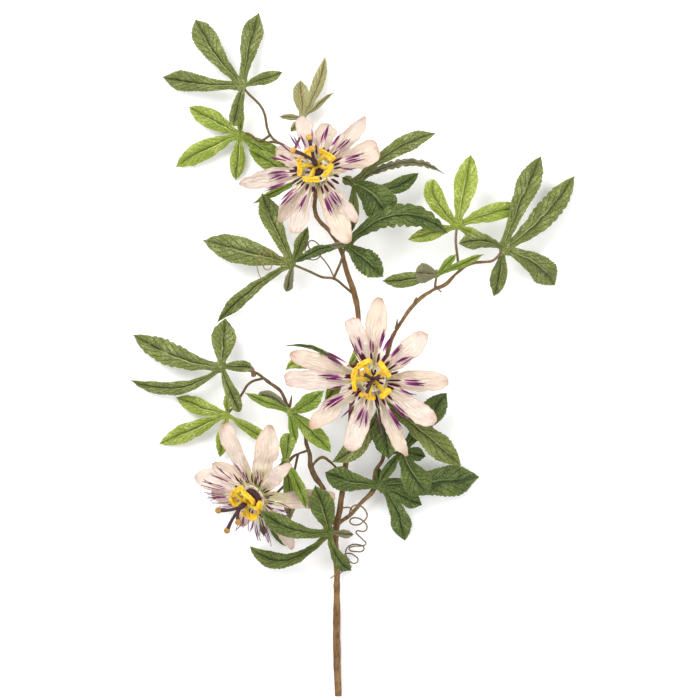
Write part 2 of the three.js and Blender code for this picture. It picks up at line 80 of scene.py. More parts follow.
class Sock:
    """One shader value: a node socket whose operators add Math nodes."""

    def __init__(self, recipe: "Recipe", socket: bpy.types.NodeSocket | None) -> None:
        """Keeps the recipe that the socket belongs to."""
        self.recipe = recipe
        self.socket = socket

    def out(self, name: str) -> "Sock":
        """Returns another output of the same node."""
        return Sock(self.recipe, self.socket.node.outputs[name])

    def _math(self, operation: str, *values: "Sock | float") -> "Sock":
        """Adds a Math node on the values."""
        inputs = dict(enumerate(values))
        return self.recipe.node("ShaderNodeMath", {"operation": operation}, inputs)

    def __add__(self, other: "Sock | float") -> "Sock":
        """Adds."""
        return self._math("ADD", self, other)

    __radd__ = __add__

    def __sub__(self, other: "Sock | float") -> "Sock":
        """Subtracts."""
        return self._math("SUBTRACT", self, other)

    def __rsub__(self, other: float) -> "Sock":
        """Subtracts this value from a number."""
        return self._math("SUBTRACT", other, self)

    def __mul__(self, other: "Sock | float") -> "Sock":
        """Multiplies."""
        return self._math("MULTIPLY", self, other)

    __rmul__ = __mul__

    def __abs__(self) -> "Sock":
        """Takes the size without the sign."""
        return self._math("ABSOLUTE", self)

    def fraction(self) -> "Sock":
        """Keeps the part after the decimal point."""
        return self._math("FRACT", self)

    def ease(self, low: float, high: float) -> "Sock":
        """Rises smoothly from 0 to 1.

        Args:
            low: Where the result is 0.
            high: Where the result is 1. It may be less than low, and then the result falls.

        Returns:
            The eased value.
        """
        first, last, start, end = (low, high, 0.0, 1.0) if low < high else (high, low, 1.0, 0.0)
        return self.recipe.node(
            "ShaderNodeMapRange",
            {"interpolation_type": "SMOOTHSTEP"},
            {"Value": self, "From Min": first, "From Max": last, "To Min": start, "To Max": end},
        )


class Recipe:
    """A material under construction: its nodes, its colour mixes and its shader."""

    def __init__(self, name: str) -> None:
        """Starts an empty node material.

        Args:
            name: The material's name.
        """
        self.material = bpy.data.materials.new(name)
        self.material.use_nodes = True
        self.tree = self.material.node_tree
        self.tree.nodes.clear()
        self.coords = self.node("ShaderNodeTexCoord")

    def node(
        self,
        kind: str,
        settings: dict[str, object] | None = None,
        inputs: "dict[str | int, Sock | float | Sequence[float]] | None" = None,
    ) -> Sock:
        """Adds one node, with its settings made first.

        Args:
            kind: The node's type.
            settings: Attributes of the node; "stops" gives the places and colours of a ramp.
            inputs: Values or links by socket name or number.

        Returns:
            The first output that is switched on, or an empty value for the last node.
        """
        node = self.tree.nodes.new(kind)
        for key, value in (settings or {}).items():
            if key == "stops":
                self._stops(node.color_ramp, value)
            else:
                setattr(node, key, value)
        for key, value in (inputs or {}).items():
            if isinstance(value, Sock):
                self.tree.links.new(value.socket, node.inputs[key])
            else:
                node.inputs[key].default_value = value
        shown = [socket for socket in node.outputs if socket.enabled]
        return Sock(self, shown[0] if shown else None)

    @staticmethod
    def _stops(ramp: bpy.types.ColorRamp, stops: Sequence[tuple[float, Colour]]) -> None:
        """Sets the stops of a colour ramp.

        Args:
            ramp: The ramp.
            stops: The place and colour of each stop.
        """
        while len(ramp.elements) < len(stops):
            ramp.elements.new(0.5)
        for element, (place, colour) in zip(ramp.elements, stops):
            element.position = place
            element.color = colour

    def mix(self, factor: Sock | float, first: "Sock | Colour", second: "Sock | Colour") -> Sock:
        """Mixes two colours, the second one by the factor."""
        inputs = {0: factor, 6: first, 7: second}
        return self.node("ShaderNodeMix", {"data_type": "RGBA"}, inputs)

    def ramp(self, value: Sock, stops: Sequence[tuple[float, Colour]]) -> Sock:
        """Turns a value into a colour along a ramp."""
        return self.node("ShaderNodeValToRGB", {"stops": stops}, {"Fac": value})

    def noise(self, scale: float, detail: float = 3.0, vector: Sock | None = None) -> Sock:
        """Soft noise of 0 to 1, on Object coordinates unless a vector is given."""
        inputs = {"Vector": vector or self.coords.out("Object"), "Scale": scale, "Detail": detail}
        return self.node("ShaderNodeTexNoise", {}, inputs)

    def cells(self, scale: float) -> Sock:
        """Distance from the border of the nearest cell of a cracked pattern, on Object coordinates."""
        inputs = {"Vector": self.coords.out("Object"), "Scale": scale}
        return self.node("ShaderNodeTexVoronoi", {"feature": "DISTANCE_TO_EDGE"}, inputs)

    def along_across(self) -> tuple[Sock, Sock]:
        """Reads the piece's own UV map.

        Returns:
            The part of the length, and the signed part of the half width.
        """
        uv = self.node("ShaderNodeSeparateXYZ", {}, {"Vector": self.coords.out("UV")})
        return uv.out("X"), uv.out("Y") * 2.0 - 1.0

    def finish(
        self,
        colour: "Sock | Colour",
        roughness: "Sock | float",
        height: Sock | None = None,
        depth: float = 0.0002,
        fixed: dict[str, object] | None = None,
    ) -> bpy.types.Material:
        """Closes the material with its shader.

        Args:
            colour: The base colour.
            roughness: The roughness.
            height: The value that raises the surface, if any.
            depth: The height in metres of a value of 1.
            fixed: Shader sockets with one value all over the surface.

        Returns:
            The material.
        """
        inputs: dict[str | int, object] = {"Base Color": colour, "Roughness": roughness, **(fixed or {})}
        if height is not None:
            bump = {"Height": height, "Distance": depth, "Strength": 1.0}
            inputs["Normal"] = self.node("ShaderNodeBump", {}, bump)
        shader = self.node("ShaderNodeBsdfPrincipled", {}, inputs)
        self.node("ShaderNodeOutputMaterial", {}, {"Surface": shader})
        return self.material


# --------------------------------------------------------------------------------------------- finishes


@dataclass(frozen=True)
class LeafFinish:
    """Leaf cloth: mottled green, blistered between the veins, with a grooved midrib and a fine weave;
    painted highlight on the veins, the ridge beside the midrib, in patches and specks, and painted shade in
    the blister creases, beside the veins, towards the midrib and in its groove.
    """

    name: str
    slot: str
    base: Colour
    light: Colour
    # the colour of the painted shade in the blister creases, beside the veins, towards the midrib and in its
    # groove
    dark: Colour
    edge: Colour
    # the colour laid on as painted highlight: on the veins, the ridge beside the midrib, in patches and in
    # fine specks
    painted_highlight: Colour
    roughness: float = 0.5
    vein_pairs: float = 9.0
    vein_slant: float = 2.2
    vein_shade: float = 0.85

    def make(self) -> bpy.types.Material:
        """Builds the material.

        Returns:
            The material.
        """
        recipe = Recipe(self.name)
        along, across = recipe.along_across()
        side = abs(across)
        patches = recipe.noise(85.0, 4.0).ease(0.4, 0.6)
        # Painted highlight: patches and fine specks where the highlight colour is laid on
        highlight_patches = recipe.noise(110.0, 4.0).ease(0.44, 0.66)
        glint_specks = recipe.noise(1100.0, 2.0).ease(0.42, 0.62)
        fine_mottle = recipe.noise(560.0, 3.0).ease(0.36, 0.66)
        blister = recipe.cells(400.0).ease(0.02, 0.26)
        bow = (along * self.vein_pairs - side * self.vein_slant + fine_mottle * 0.12).fraction()
        fade = side.ease(0.98, 0.7) * side.ease(0.02, 0.16) * along.ease(1.0, 0.86)
        vein = abs(bow - 0.5).ease(0.1, 0.0) * fade
        shadow = abs((bow + 0.87).fraction() - 0.5).ease(0.15, 0.0) * fade
        # breaks up the midrib groove and its painted shade
        groove_breaks = recipe.noise(300.0, 2.0).ease(0.3, 0.5)
        groove = abs(across + 0.02).ease(0.09, 0.03) * along.ease(0.95, 0.75)
        groove = groove * along.ease(0.05, 0.45) * groove_breaks
        ridge = abs(across - 0.09).ease(0.11, 0.02) * along.ease(0.95, 0.2)
        colour = recipe.mix(patches * 0.6, self.base, self.light)
        # painted shade in the creases between the blisters
        colour = recipe.mix((1.0 - blister) * 0.22, colour, self.dark)
        # painted highlight in patches and in fine glinting specks
        colour = recipe.mix(fine_mottle * highlight_patches * 0.34, colour, self.painted_highlight)
        colour = recipe.mix(glint_specks * (0.24 + highlight_patches * 0.32), colour, self.painted_highlight)
        colour = recipe.mix(shadow * self.vein_shade, colour, self.dark)
        # painted highlight along the raised veins
        colour = recipe.mix(vein * 0.5, colour, self.painted_highlight)
        # painted shade: darker towards the midrib, in the fold along it
        colour = recipe.mix(side.ease(0.42, 0.05) * 0.5, colour, self.dark)
        # painted highlight along the raised ridge beside the midrib
        colour = recipe.mix(ridge * 0.9, colour, self.painted_highlight)
        # painted shade in the midrib groove
        colour = recipe.mix(groove * (self.vein_shade - 0.07), colour, self.dark)
        colour = recipe.mix(side.ease(0.88, 1.0) * 0.7, colour, self.edge)
        weave = recipe.noise(1500.0, 1.0)
        height = blister * 0.5 + weave * 0.16 + vein * 0.4 + ridge * 0.5 - groove * 0.9 - shadow * 0.35
        fixed = {"Specular IOR Level": 0.28}
        return recipe.finish(colour, patches * 0.16 + self.roughness - 0.08, height, 0.0006, fixed)


@dataclass(frozen=True)
class PetalFinish:
    """Petal cloth: cream with long fine streaks, green-yellow at the root and blushed at the tip; its edge
    tone is partly its own tan rim and partly painted shade on the curled edges and in the pleat creases.
    """

    name: str
    slot: str
    body: Colour
    streak: Colour
    root: Colour
    tip: Colour
    # the petal's own tan rim tone, also laid on as painted shade on curled edges and in the pleat creases
    edge: Colour

    def make(self) -> bpy.types.Material:
        """Builds the material.

        Returns:
            The material.
        """
        recipe = Recipe(self.name)
        along, across = recipe.along_across()
        side = abs(across)
        grain = recipe.node("ShaderNodeCombineXYZ", {}, {"X": along * 1.4, "Y": across * 7.0})
        streaks = recipe.noise(1.6, 4.0, grain).ease(0.36, 0.66)
        fine = recipe.noise(5.0, 2.0, grain).ease(0.4, 0.7)
        clouds = recipe.noise(110.0, 3.0).ease(0.35, 0.7)
        weave = recipe.noise(1700.0, 1.0)
        colour = recipe.mix(streaks * 0.7, self.body, self.streak)
        colour = recipe.mix(fine * 0.1, colour, self.edge)
        colour = recipe.mix(clouds * 0.25, colour, self.tip)
        colour = recipe.mix(along.ease(0.42, 0.1) * (0.5 + streaks * 0.4), colour, self.root)
        colour = recipe.mix(along.ease(0.84, 1.0) * (0.3 + clouds * 0.6), colour, self.tip)
        # pleat creases, sunk in the bump and darkened with the edge tone as painted shade
        pleat = abs((across * 3.2 + streaks * 0.3).fraction() - 0.5).ease(0.2, 0.0) * along.ease(1.0, 0.6)
        colour = recipe.mix(pleat * 0.2, colour, self.edge)
        # the rim and tip end take the edge tone: partly the petal's own tan, partly painted shade where the
        # edges curl
        colour = recipe.mix(side.ease(0.84, 1.0) * 0.6, colour, self.edge)
        colour = recipe.mix(along.ease(0.95, 1.0) * 0.5, colour, self.edge)
        height = streaks * 0.8 + fine * 0.45 + weave * 0.1 - pleat * 0.9
        soft = {"Subsurface Weight": 0.1, "Subsurface Scale": 0.002, "Specular IOR Level": 0.35}
        return recipe.finish(colour, 0.6, height, 0.0003, soft)


@dataclass(frozen=True)
class ThreadFinish:
    """A corona thread: its colour runs along its length."""

    name: str
    stops: tuple[tuple[float, Colour], ...]

    def make(self) -> bpy.types.Material:
        """Builds the material.

        Returns:
            The material.
        """
        recipe = Recipe(self.name)
        along, _ = recipe.along_across()
        wander = recipe.noise(260.0, 2.0) * 0.24 - 0.12
        colour = recipe.ramp(along + wander, self.stops)
        fixed = {"Specular IOR Level": 0.2}
        return recipe.finish(colour, 0.6, recipe.noise(1600.0, 1.0), 0.0001, fixed)


@dataclass(frozen=True)
class SpeckledFinish:
    """Moulded or wrapped stuff: two colours mottled together, with specks and a grained surface."""

    name: str
    slot: str
    base: Colour
    second: Colour
    speck: Colour
    patch_scale: float = 220.0
    speck_scale: float = 1200.0
    roughness: float = 0.5
    depth: float = 0.0003
    grain: tuple[float, float, float] = (1.0, 1.0, 1.0)

    def make(self) -> bpy.types.Material:
        """Builds the material.

        Returns:
            The material.
        """
        recipe = Recipe(self.name)
        stretched = recipe.node(
            "ShaderNodeMapping", {}, {"Vector": recipe.coords.out("Object"), "Scale": self.grain}
        )
        patches = recipe.noise(self.patch_scale, 4.0, stretched).ease(0.36, 0.66)
        specks = recipe.noise(self.speck_scale, 2.0, stretched).ease(0.5, 0.68)
        colour = recipe.mix(patches, self.base, self.second)
        colour = recipe.mix(specks * 0.7, colour, self.speck)
        height = patches * 0.6 + specks * 0.4
        return recipe.finish(colour, patches * 0.15 + self.roughness, height, self.depth)


Finish = LeafFinish | PetalFinish | ThreadFinish | SpeckledFinish

MAROON = rgb(72, 14, 36)
PURPLE = rgb(104, 26, 84)
PLUM = rgb(150, 70, 130)
CREAM = rgb(229, 213, 200)

# Each leaf finish gives its base colour, lighter mottle, painted shade, edge tone and painted highlight, in
# that order.
DARK_LEAF = LeafFinish(
    "leaf_cloth_dark", "leaf_dark", rgb(86, 98, 33), rgb(109, 120, 48), rgb(47, 59, 19),
    rgb(120, 116, 70), rgb(170, 175, 112),
)
DEEP_LEAF = LeafFinish(
    "leaf_cloth_deep", "leaf_dark", rgb(62, 81, 22), rgb(83, 99, 33), rgb(31, 44, 16),
    rgb(99, 99, 57), rgb(134, 148, 84), 0.52,
)
MOSS_LEAF = LeafFinish(
    "leaf_cloth_moss", "leaf_dark", rgb(74, 90, 27), rgb(97, 111, 40), rgb(38, 51, 18),
    rgb(108, 106, 62), rgb(142, 152, 82), 0.52,
)
LIGHT_LEAF = LeafFinish(
    "leaf_cloth_light", "leaf_light", rgb(121, 141, 30), rgb(145, 159, 51), rgb(79, 101, 18),
    rgb(152, 155, 76), rgb(206, 212, 128), vein_shade=0.58,
)
MID_LEAF = LeafFinish(
    "leaf_cloth_mid", "leaf_light", rgb(103, 129, 25), rgb(131, 150, 43), rgb(64, 86, 18),
    rgb(135, 142, 68), rgb(180, 188, 108), vein_shade=0.68,
)
PALE_LEAF = LeafFinish(
    "leaf_cloth_pale", "leaf_pale", rgb(143, 145, 90), rgb(164, 162, 113), rgb(125, 102, 53),
    rgb(162, 147, 107), rgb(186, 182, 143), 0.62,
)
LEAF_BACK = LeafFinish(
    "leaf_cloth_back", "leaf_pale", rgb(112, 112, 77), rgb(133, 129, 96), rgb(81, 81, 51),
    rgb(139, 122, 99), rgb(155, 148, 120), 0.64,
)
PETAL = PetalFinish(
    "petal_cloth", "petal", CREAM, rgb(240, 226, 213), rgb(236, 230, 172), rgb(222, 186, 170),
    rgb(200, 162, 138),
)
SEPAL = PetalFinish(
    "sepal_cloth", "sepal", rgb(227, 210, 192), rgb(239, 224, 206), rgb(228, 224, 158),
    rgb(219, 182, 162), rgb(196, 162, 136),
)
TUFT = ThreadFinish(
    "thread_purple",
    ((0.0, rgb(190, 160, 140)), (0.12, rgb(232, 218, 196)), (0.42, rgb(230, 212, 200)),
     (0.5, PLUM), (0.68, PURPLE), (0.9, rgb(90, 20, 74)), (1.0, rgb(150, 84, 132))),
)
DASH = ThreadFinish(
    "thread_maroon", ((0.0, rgb(54, 12, 26)), (0.7, MAROON), (1.0, rgb(100, 32, 66)))
)
PALE_THREAD = ThreadFinish(
    "thread_pale",
    ((0.0, rgb(220, 212, 156)), (0.3, rgb(232, 222, 192)), (1.0, rgb(234, 218, 204))),
)
ANTHER = SpeckledFinish(
    "anther_yellow", "flower_centre", rgb(228, 176, 14), rgb(236, 198, 34), rgb(190, 122, 10), 420.0,
    600.0,
)
ANTHER_STRAP = SpeckledFinish(
    "anther_strap", "flower_centre", rgb(214, 176, 20), rgb(176, 158, 26), rgb(226, 158, 26), 300.0
)
STYLE = SpeckledFinish(
    "style_maroon", "flower_centre", rgb(48, 12, 22), rgb(68, 24, 30), rgb(26, 8, 12), 500.0
)
STIGMA = SpeckledFinish(
    "stigma_tan", "flower_centre", rgb(190, 138, 36), rgb(206, 160, 60), rgb(132, 90, 30), 500.0
)
RIPE_STIGMA = SpeckledFinish(
    "stigma_brown", "flower_centre", rgb(156, 112, 40), rgb(176, 134, 56), rgb(96, 64, 26), 500.0
)
NECTARY = SpeckledFinish(
    "nectary_pale", "flower_centre", rgb(224, 218, 172), rgb(222, 206, 194), rgb(96, 44, 54), 420.0, 560.0
)
CUP = SpeckledFinish("cup_green", "sepal", rgb(136, 144, 66), rgb(164, 164, 94), rgb(108, 108, 50))
BARK = SpeckledFinish(
    "stem_bark", "stem", rgb(127, 93, 48), rgb(101, 72, 36), rgb(66, 43, 23), 300.0, 700.0, 0.62,
    0.0006, (1.0, 0.3, 1.0),
)
DARK_BARK = SpeckledFinish(
    "branch_bark", "stem", rgb(88, 61, 33), rgb(110, 83, 45), rgb(52, 33, 19), 300.0, 700.0, 0.62, 0.0005
)
GOLD_BARK = SpeckledFinish(
    "branch_bark_gold", "stem", rgb(112, 84, 46), rgb(132, 104, 58), rgb(66, 44, 26), 260.0, 700.0, 0.62,
    0.0005,
)
OLIVE_BARK = SpeckledFinish(
    "twig_olive", "twig", rgb(108, 88, 38), rgb(88, 70, 33), rgb(64, 48, 26), 300.0, 900.0, 0.6
)
TENDRIL_WRAP = SpeckledFinish(
    "tendril_wrap", "twig", rgb(126, 100, 72), rgb(104, 79, 55), rgb(81, 61, 40), 320.0, 900.0, 0.6
)
GOLD_WRAP = SpeckledFinish(
    "tendril_gold", "twig", rgb(140, 124, 60), rgb(118, 102, 50), rgb(92, 76, 40), 320.0, 900.0, 0.6
)


class Paintbox:
    """Makes each finish's material once."""

    def __init__(self) -> None:
        """Starts with no material made."""
        self.made: dict[str, bpy.types.Material] = {}

    def get(self, finish: Finish) -> bpy.types.Material:
        """Makes a finish's material the first time it is asked for.

        Args:
            finish: The finish.

        Returns:
            Its material.
        """
        if finish.name not in self.made:
            self.made[finish.name] = finish.make()
        return self.made[finish.name]

    def coat(self, obj: bpy.types.Object, *finishes: Finish) -> bpy.types.Object:
        """Gives an object its materials.

        Args:
            obj: The object.
            finishes: Its finishes, in slot order.

        Returns:
            The same object.
        """
        obj.data.materials.clear()
        for finish in finishes:
            obj.data.materials.append(self.get(finish))
        return obj


PAINT = Paintbox()


# -------------------------------------------------------------------------------------------- workbench


class Bench:
    """Hand modelling with the mesh operators: primitives, edit mode, modifiers, bends and joins."""

    @staticmethod
    def clear() -> None:
        """Deselects every object."""
        for obj in bpy.context.selected_objects:
            obj.select_set(False)

    @classmethod
    def take(cls, obj: bpy.types.Object) -> bpy.types.Object:
        """Makes one object the only selected and active one.

        Args:
            obj: The object.

        Returns:
            The same object.
        """
        cls.clear()
        obj.select_set(True)
        bpy.context.view_layer.objects.active = obj
        return obj

    @staticmethod
    def pick(obj: bpy.types.Object, test: Callable[[Vector], bool]) -> None:
        """Selects the vertices that pass a test, in edit mode.

        Args:
            obj: The object that is being edited.
            test: Says by a vertex's place whether it is wanted.
        """
        mesh = bmesh.from_edit_mesh(obj.data)
        for vertex in mesh.verts:
            vertex.select = test(vertex.co)
        mesh.select_flush_mode()
        bmesh.update_edit_mesh(obj.data)

    @classmethod
    def modify(cls, obj: bpy.types.Object, kind: str, settings: dict[str, object]) -> None:
        """Adds a modifier and applies it.

        Args:
            obj: The object.
            kind: The modifier's type.
            settings: Its attributes.
        """
        cls.take(obj)
        modifier = obj.modifiers.new(kind.lower(), kind)
        for key, value in settings.items():
            setattr(modifier, key, value)
        bpy.ops.object.modifier_apply(modifier=modifier.name)

    @staticmethod
    def copy(master: bpy.types.Object, name: str) -> bpy.types.Object:
        """Copies an object together with its own mesh.

        Args:
            master: The object to copy.
            name: The copy's name.

        Returns:
            The copy.
        """
        twin = master.copy()
        twin.data = master.data.copy()
        twin.name = name
        bpy.context.scene.collection.objects.link(twin)
        return twin

    @classmethod
    def settle(cls, obj: bpy.types.Object) -> None:
        """Moves an object's place, turn and size into its mesh."""
        cls.take(obj)
        bpy.ops.object.transform_apply(location=True, rotation=True, scale=True)

    @classmethod
    def weld(cls, parts: Sequence[bpy.types.Object], name: str) -> bpy.types.Object:
        """Joins objects into one.

        Args:
            parts: The objects.
            name: The name of the result.

        Returns:
            The joined object.
        """
        cls.take(parts[0])
        for part in parts:
            part.select_set(True)
        if len(parts) > 1:
            bpy.ops.object.join()
        joined = bpy.context.view_layer.objects.active
        joined.name = name
        joined.data.name = name
        return joined

    @classmethod
    def crumple(cls, obj: bpy.types.Object, strength: float) -> None:
        """Pushes a blade about gently in every direction, so that no two come out alike.

        Args:
            obj: The blade.
            strength: How far it is pushed about, in millimetres.
        """
        clouds = bpy.data.textures.get("crumple") or bpy.data.textures.new("crumple", "CLOUDS")
        clouds.noise_scale = 9.0 * MM
        clouds.cloud_type = "COLOR"
        push = {"texture": clouds, "strength": strength * MM, "mid_level": 0.5}
        cls.modify(obj, "DISPLACE", {**push, "direction": "RGB_TO_XYZ", "texture_coords": "LOCAL"})

    @classmethod
    def rest(cls, obj: bpy.types.Object) -> None:
        """Presses whatever would sink below the floor flat onto it."""
        for vertex in obj.data.vertices:
            vertex.co.z = max(vertex.co.z, FLOOR_GAP * MM)

    @classmethod
    def bend(cls, obj: bpy.types.Object, route: "Route", girth: tuple[float, float]) -> bpy.types.Object:
        """Lays an object that was made along +X onto a route.

        Args:
            obj: The straight piece, one unit in half width.
            route: The route to follow.
            girth: Half width and height in millimetres of one unit.

        Returns:
            The same object, bent.
        """
        obj.scale = (1.0, girth[0] * MM, girth[1] * MM)
        cls.settle(obj)
        guide = route.curve()
        cls.modify(obj, "CURVE", {"object": guide, "deform_axis": "POS_X"})
        data = guide.data
        bpy.data.objects.remove(guide)
        bpy.data.curves.remove(data)
        return obj


@dataclass
class Route:
    """A curve in space that a straight piece is bent along, with a girth and a tilt at each point."""

    points: list[Vector]
    handles: list[tuple[Vector, Vector]] | None = None
    radii: list[float] | None = None
    tilts: list[float] | None = None

    @classmethod
    def arched(cls, base: Vector, via: Vector, tip: Vector) -> "Route":
        """Draws a single arch.

        Args:
            base: Where it starts, in millimetres.
            via: The place that it passes through at its middle.
            tip: Where it ends.

        Returns:
            The route.
        """
        control = via * 2.0 - (base + tip) * 0.5
        first = base + (control - base) * (2.0 / 3.0)
        last = tip + (control - tip) * (2.0 / 3.0)
        handles = [(base * 2.0 - first, first), (last, tip * 2.0 - last)]
        return cls([base, tip], handles)

    def tangent(self, end: int) -> Vector:
        """Finds the direction of an arch at one end.

        Args:
            end: 0 for its base, 1 for its tip.

        Returns:
            The direction, one long.
        """
        inner = self.handles[0][1] if end == 0 else self.handles[1][0]
        way = inner - self.points[0] if end == 0 else self.points[1] - inner
        return way.normalized()

    def face(self, facing: Vector, rolls: tuple[float, float] = (0.0, 0.0)) -> "Route":
        """Turns an arch so that its upper side looks a given way.

        Args:
            facing: The way to look.
            rolls: A further turn in degrees at the base and at the tip.

        Returns:
            The same route.
        """
        self.tilts = []
        for end, roll in enumerate(rolls):
            way = self.tangent(end)
            level = (UP - way * UP.dot(way)).normalized()
            wanted = (facing - way * facing.dot(way)).normalized()
            turn = math.atan2(level.cross(wanted).dot(way), level.dot(wanted))
            self.tilts.append(-(turn + math.radians(roll)))
        return self

    def curve(self) -> bpy.types.Object:
        """Makes the curve object that a Curve modifier follows.

        Returns:
            The curve object.
        """
        data = bpy.data.curves.new("guide", "CURVE")
        data.dimensions = "3D"
        data.twist_mode = "Z_UP"
        data.use_stretch = True
        data.use_deform_bounds = True
        data.resolution_u = 24 if self.handles else 12
        spline = data.splines.new("BEZIER")
        spline.bezier_points.add(len(self.points) - 1)
        for i, knot in enumerate(spline.bezier_points):
            knot.co = self.points[i] * MM
            knot.radius = self.radii[i] if self.radii else 1.0
            knot.tilt = self.tilts[i] if self.tilts else 0.0
            if self.handles:
                knot.handle_left_type = knot.handle_right_type = "FREE"
                knot.handle_left = self.handles[i][0] * MM
                knot.handle_right = self.handles[i][1] * MM
            else:
                knot.handle_left_type = knot.handle_right_type = "AUTO"
        guide = bpy.data.objects.new("guide", data)
        bpy.context.scene.collection.objects.link(guide)
        return guide


# ---------------------------------------------------------------------------------------- blade patterns


LEAST_WIDTH = 0.015
RUFFLED_FROM = 0.6
QUILTED_ROWS = 3
QUILTED_FROM, QUILTED_TO = 0.2, 0.9
TOOTHED_FROM, TOOTHED_TO = 0.22, 0.97
BLADE_SMOOTHING = math.radians(50.0)
FORM_SMOOTHING = math.radians(60.0)


def between(stops: Sequence[tuple[float, float]], place: float) -> float:
    """Reads a value off a list of stops, easing between them.

    Args:
        stops: The place and value of each stop.
        place: Where to read.

    Returns:
        The value there.
    """
    for (start, low), (end, high) in zip(stops, stops[1:]):
        if place <= end:
            part = (place - start) / (end - start)
            part = part * part * (3.0 - 2.0 * part) * 0.5 + part * 0.5
            return low + (high - low) * part
    return stops[-1][1]


@dataclass
class BladePattern:
    """A flat straight blade, one long and two wide, cut and pressed from a grid."""

    name: str
    rows: int
    columns: int
    outline: tuple[tuple[float, float], ...]
    section: tuple[tuple[float, float], ...]
    thickness: float = 0.45
    teeth: float = 0.0
    tooth_rows: int = 2
    ruffle: float = 0.0
    ruffles: float = 5.0
    quilting: float = 0.0
    lean: float = 0.0
    smooth: int = 1
    master: bpy.types.Object | None = None

    def make(self) -> bpy.types.Object:
        """Models the master, which every blade of the pattern is then copied from.

        Returns:
            The master, hidden.
        """
        Bench.clear()
        bpy.ops.mesh.primitive_grid_add(
            x_subdivisions=self.rows, y_subdivisions=self.columns, size=2.0, calc_uvs=True
        )
        obj = bpy.context.object
        obj.name = f"pattern_{self.name}"
        obj.scale = (0.5, 1.0, 1.0)
        obj.location = (0.5, 0.0, 0.0)
        Bench.settle(obj)
        bpy.ops.object.mode_set(mode="EDIT")
        self._press_columns(obj)
        self._cut_rows(obj)
        bpy.ops.object.mode_set(mode="OBJECT")
        if self.smooth:
            Bench.modify(obj, "SUBSURF", {"levels": self.smooth, "render_levels": self.smooth})
        obj.hide_render = True
        self.master = obj
        return obj

    def _press_columns(self, obj: bpy.types.Object) -> None:
        """Presses the cross section: a groove along the middle, raised halves, turned edges.

        Args:
            obj: The grid, in edit mode.
        """
        for i in range(self.columns + 1):
            across = -1.0 + 2.0 * i / self.columns
            rise = between(self.section, abs(across))
            if rise:
                Bench.pick(obj, lambda spot: abs(spot.y - across) < SAME_PLACE)
                bpy.ops.transform.translate(value=(0.0, 0.0, rise))

    def _cut_rows(self, obj: bpy.types.Object) -> None:
        """Narrows each row to the outline, with teeth, quilting and ruffles on the way.

        Args:
            obj: The grid, in edit mode.
        """
        for i in range(self.rows + 1):
            part = i / self.rows
            width = max(LEAST_WIDTH, between(self.outline, part))
            swell = min(1.0, 2.5 * part, 5.0 * (1.0 - part))
            if self.ruffle:
                for sign in (1.0, -1.0):
                    phase = 2.0 * math.pi * self.ruffles * part + (0.9 if sign > 0 else 0.0)
                    Bench.pick(
                        obj,
                        lambda spot: abs(spot.x - part) < SAME_PLACE and spot.y * sign > RUFFLED_FROM,
                    )
                    bpy.ops.transform.translate(value=(0.0, 0.0, self.ruffle * swell * math.sin(phase)))
            if self.quilting and i % QUILTED_ROWS == 0:
                Bench.pick(
                    obj,
                    lambda spot: abs(spot.x - part) < SAME_PLACE and QUILTED_FROM < abs(spot.y) < QUILTED_TO,
                )
                bpy.ops.transform.translate(value=(0.0, 0.0, -self.quilting))
            press = min(1.0, 1.5 * width)
            if TOOTHED_FROM < part < TOOTHED_TO:
                notch = 1.0 - math.sin(math.pi * (i % self.tooth_rows) / self.tooth_rows)
                notch *= 0.7 + 0.3 * math.sin(1.9 * i)
                width *= 1.0 - self.teeth * notch
            Bench.pick(obj, lambda spot: abs(spot.x - part) < SAME_PLACE)
            bpy.ops.transform.resize(value=(1.0, width, press), center_override=(part, 0.0, 0.0))
            shift = self.lean * math.sin(math.pi * part)
            if shift:
                bpy.ops.transform.translate(value=(0.0, shift, 0.0))

    def lay(
        self, name: str, route: "Route", girth: tuple[float, float], crumple: float = 0.0
    ) -> bpy.types.Object:
        """Cuts a fresh blade, bends it onto a route, crumples it and gives it its thickness.

        Args:
            name: The blade's name.
            route: The route to follow.
            girth: Half width and relief in millimetres.
            crumple: How strongly it is pushed about, in millimetres.

        Returns:
            The blade.
        """
        blade = Bench.copy(self.master or self.make(), name)
        blade.hide_render = False
        Bench.bend(blade, route, girth)
        if crumple:
            Bench.crumple(blade, crumple)
        solid = {"thickness": self.thickness * MM, "offset": -1.0, "material_offset": 1}
        Bench.modify(blade, "SOLIDIFY", solid)
        Bench.rest(blade)
        Bench.take(blade)
        bpy.ops.object.shade_smooth_by_angle(angle=BLADE_SMOOTHING)
        return blade


LEAF_SECTION = ((0.0, -0.13), (0.25, 0.03), (0.5, 0.09), (0.75, 0.06), (1.0, -0.04))
LEAF_OUTLINE = (
    (0.0, 0.56), (0.07, 0.4), (0.14, 0.36), (0.3, 0.52), (0.5, 0.79), (0.66, 0.98), (0.75, 1.0),
    (0.85, 0.76), (0.94, 0.34), (1.0, 0.0),
)
OVAL_OUTLINE = (
    (0.0, 0.5), (0.07, 0.36), (0.14, 0.36), (0.3, 0.68), (0.48, 0.95), (0.62, 1.0), (0.78, 0.83),
    (0.9, 0.46), (1.0, 0.0),
)
BLUNT_OUTLINE = (
    (0.0, 0.5), (0.1, 0.36), (0.3, 0.62), (0.55, 0.93), (0.75, 1.0), (0.9, 0.78), (0.97, 0.46),
    (1.0, 0.1),
)
NARROW_OUTLINE = ((0.0, 0.6), (0.15, 0.5), (0.5, 1.0), (0.8, 0.72), (1.0, 0.0))
PETAL_OUTLINE = (
    (0.0, 0.52), (0.15, 0.64), (0.35, 0.8), (0.6, 1.0), (0.78, 0.97), (0.88, 0.82), (0.95, 0.56),
    (1.0, 0.22),
)
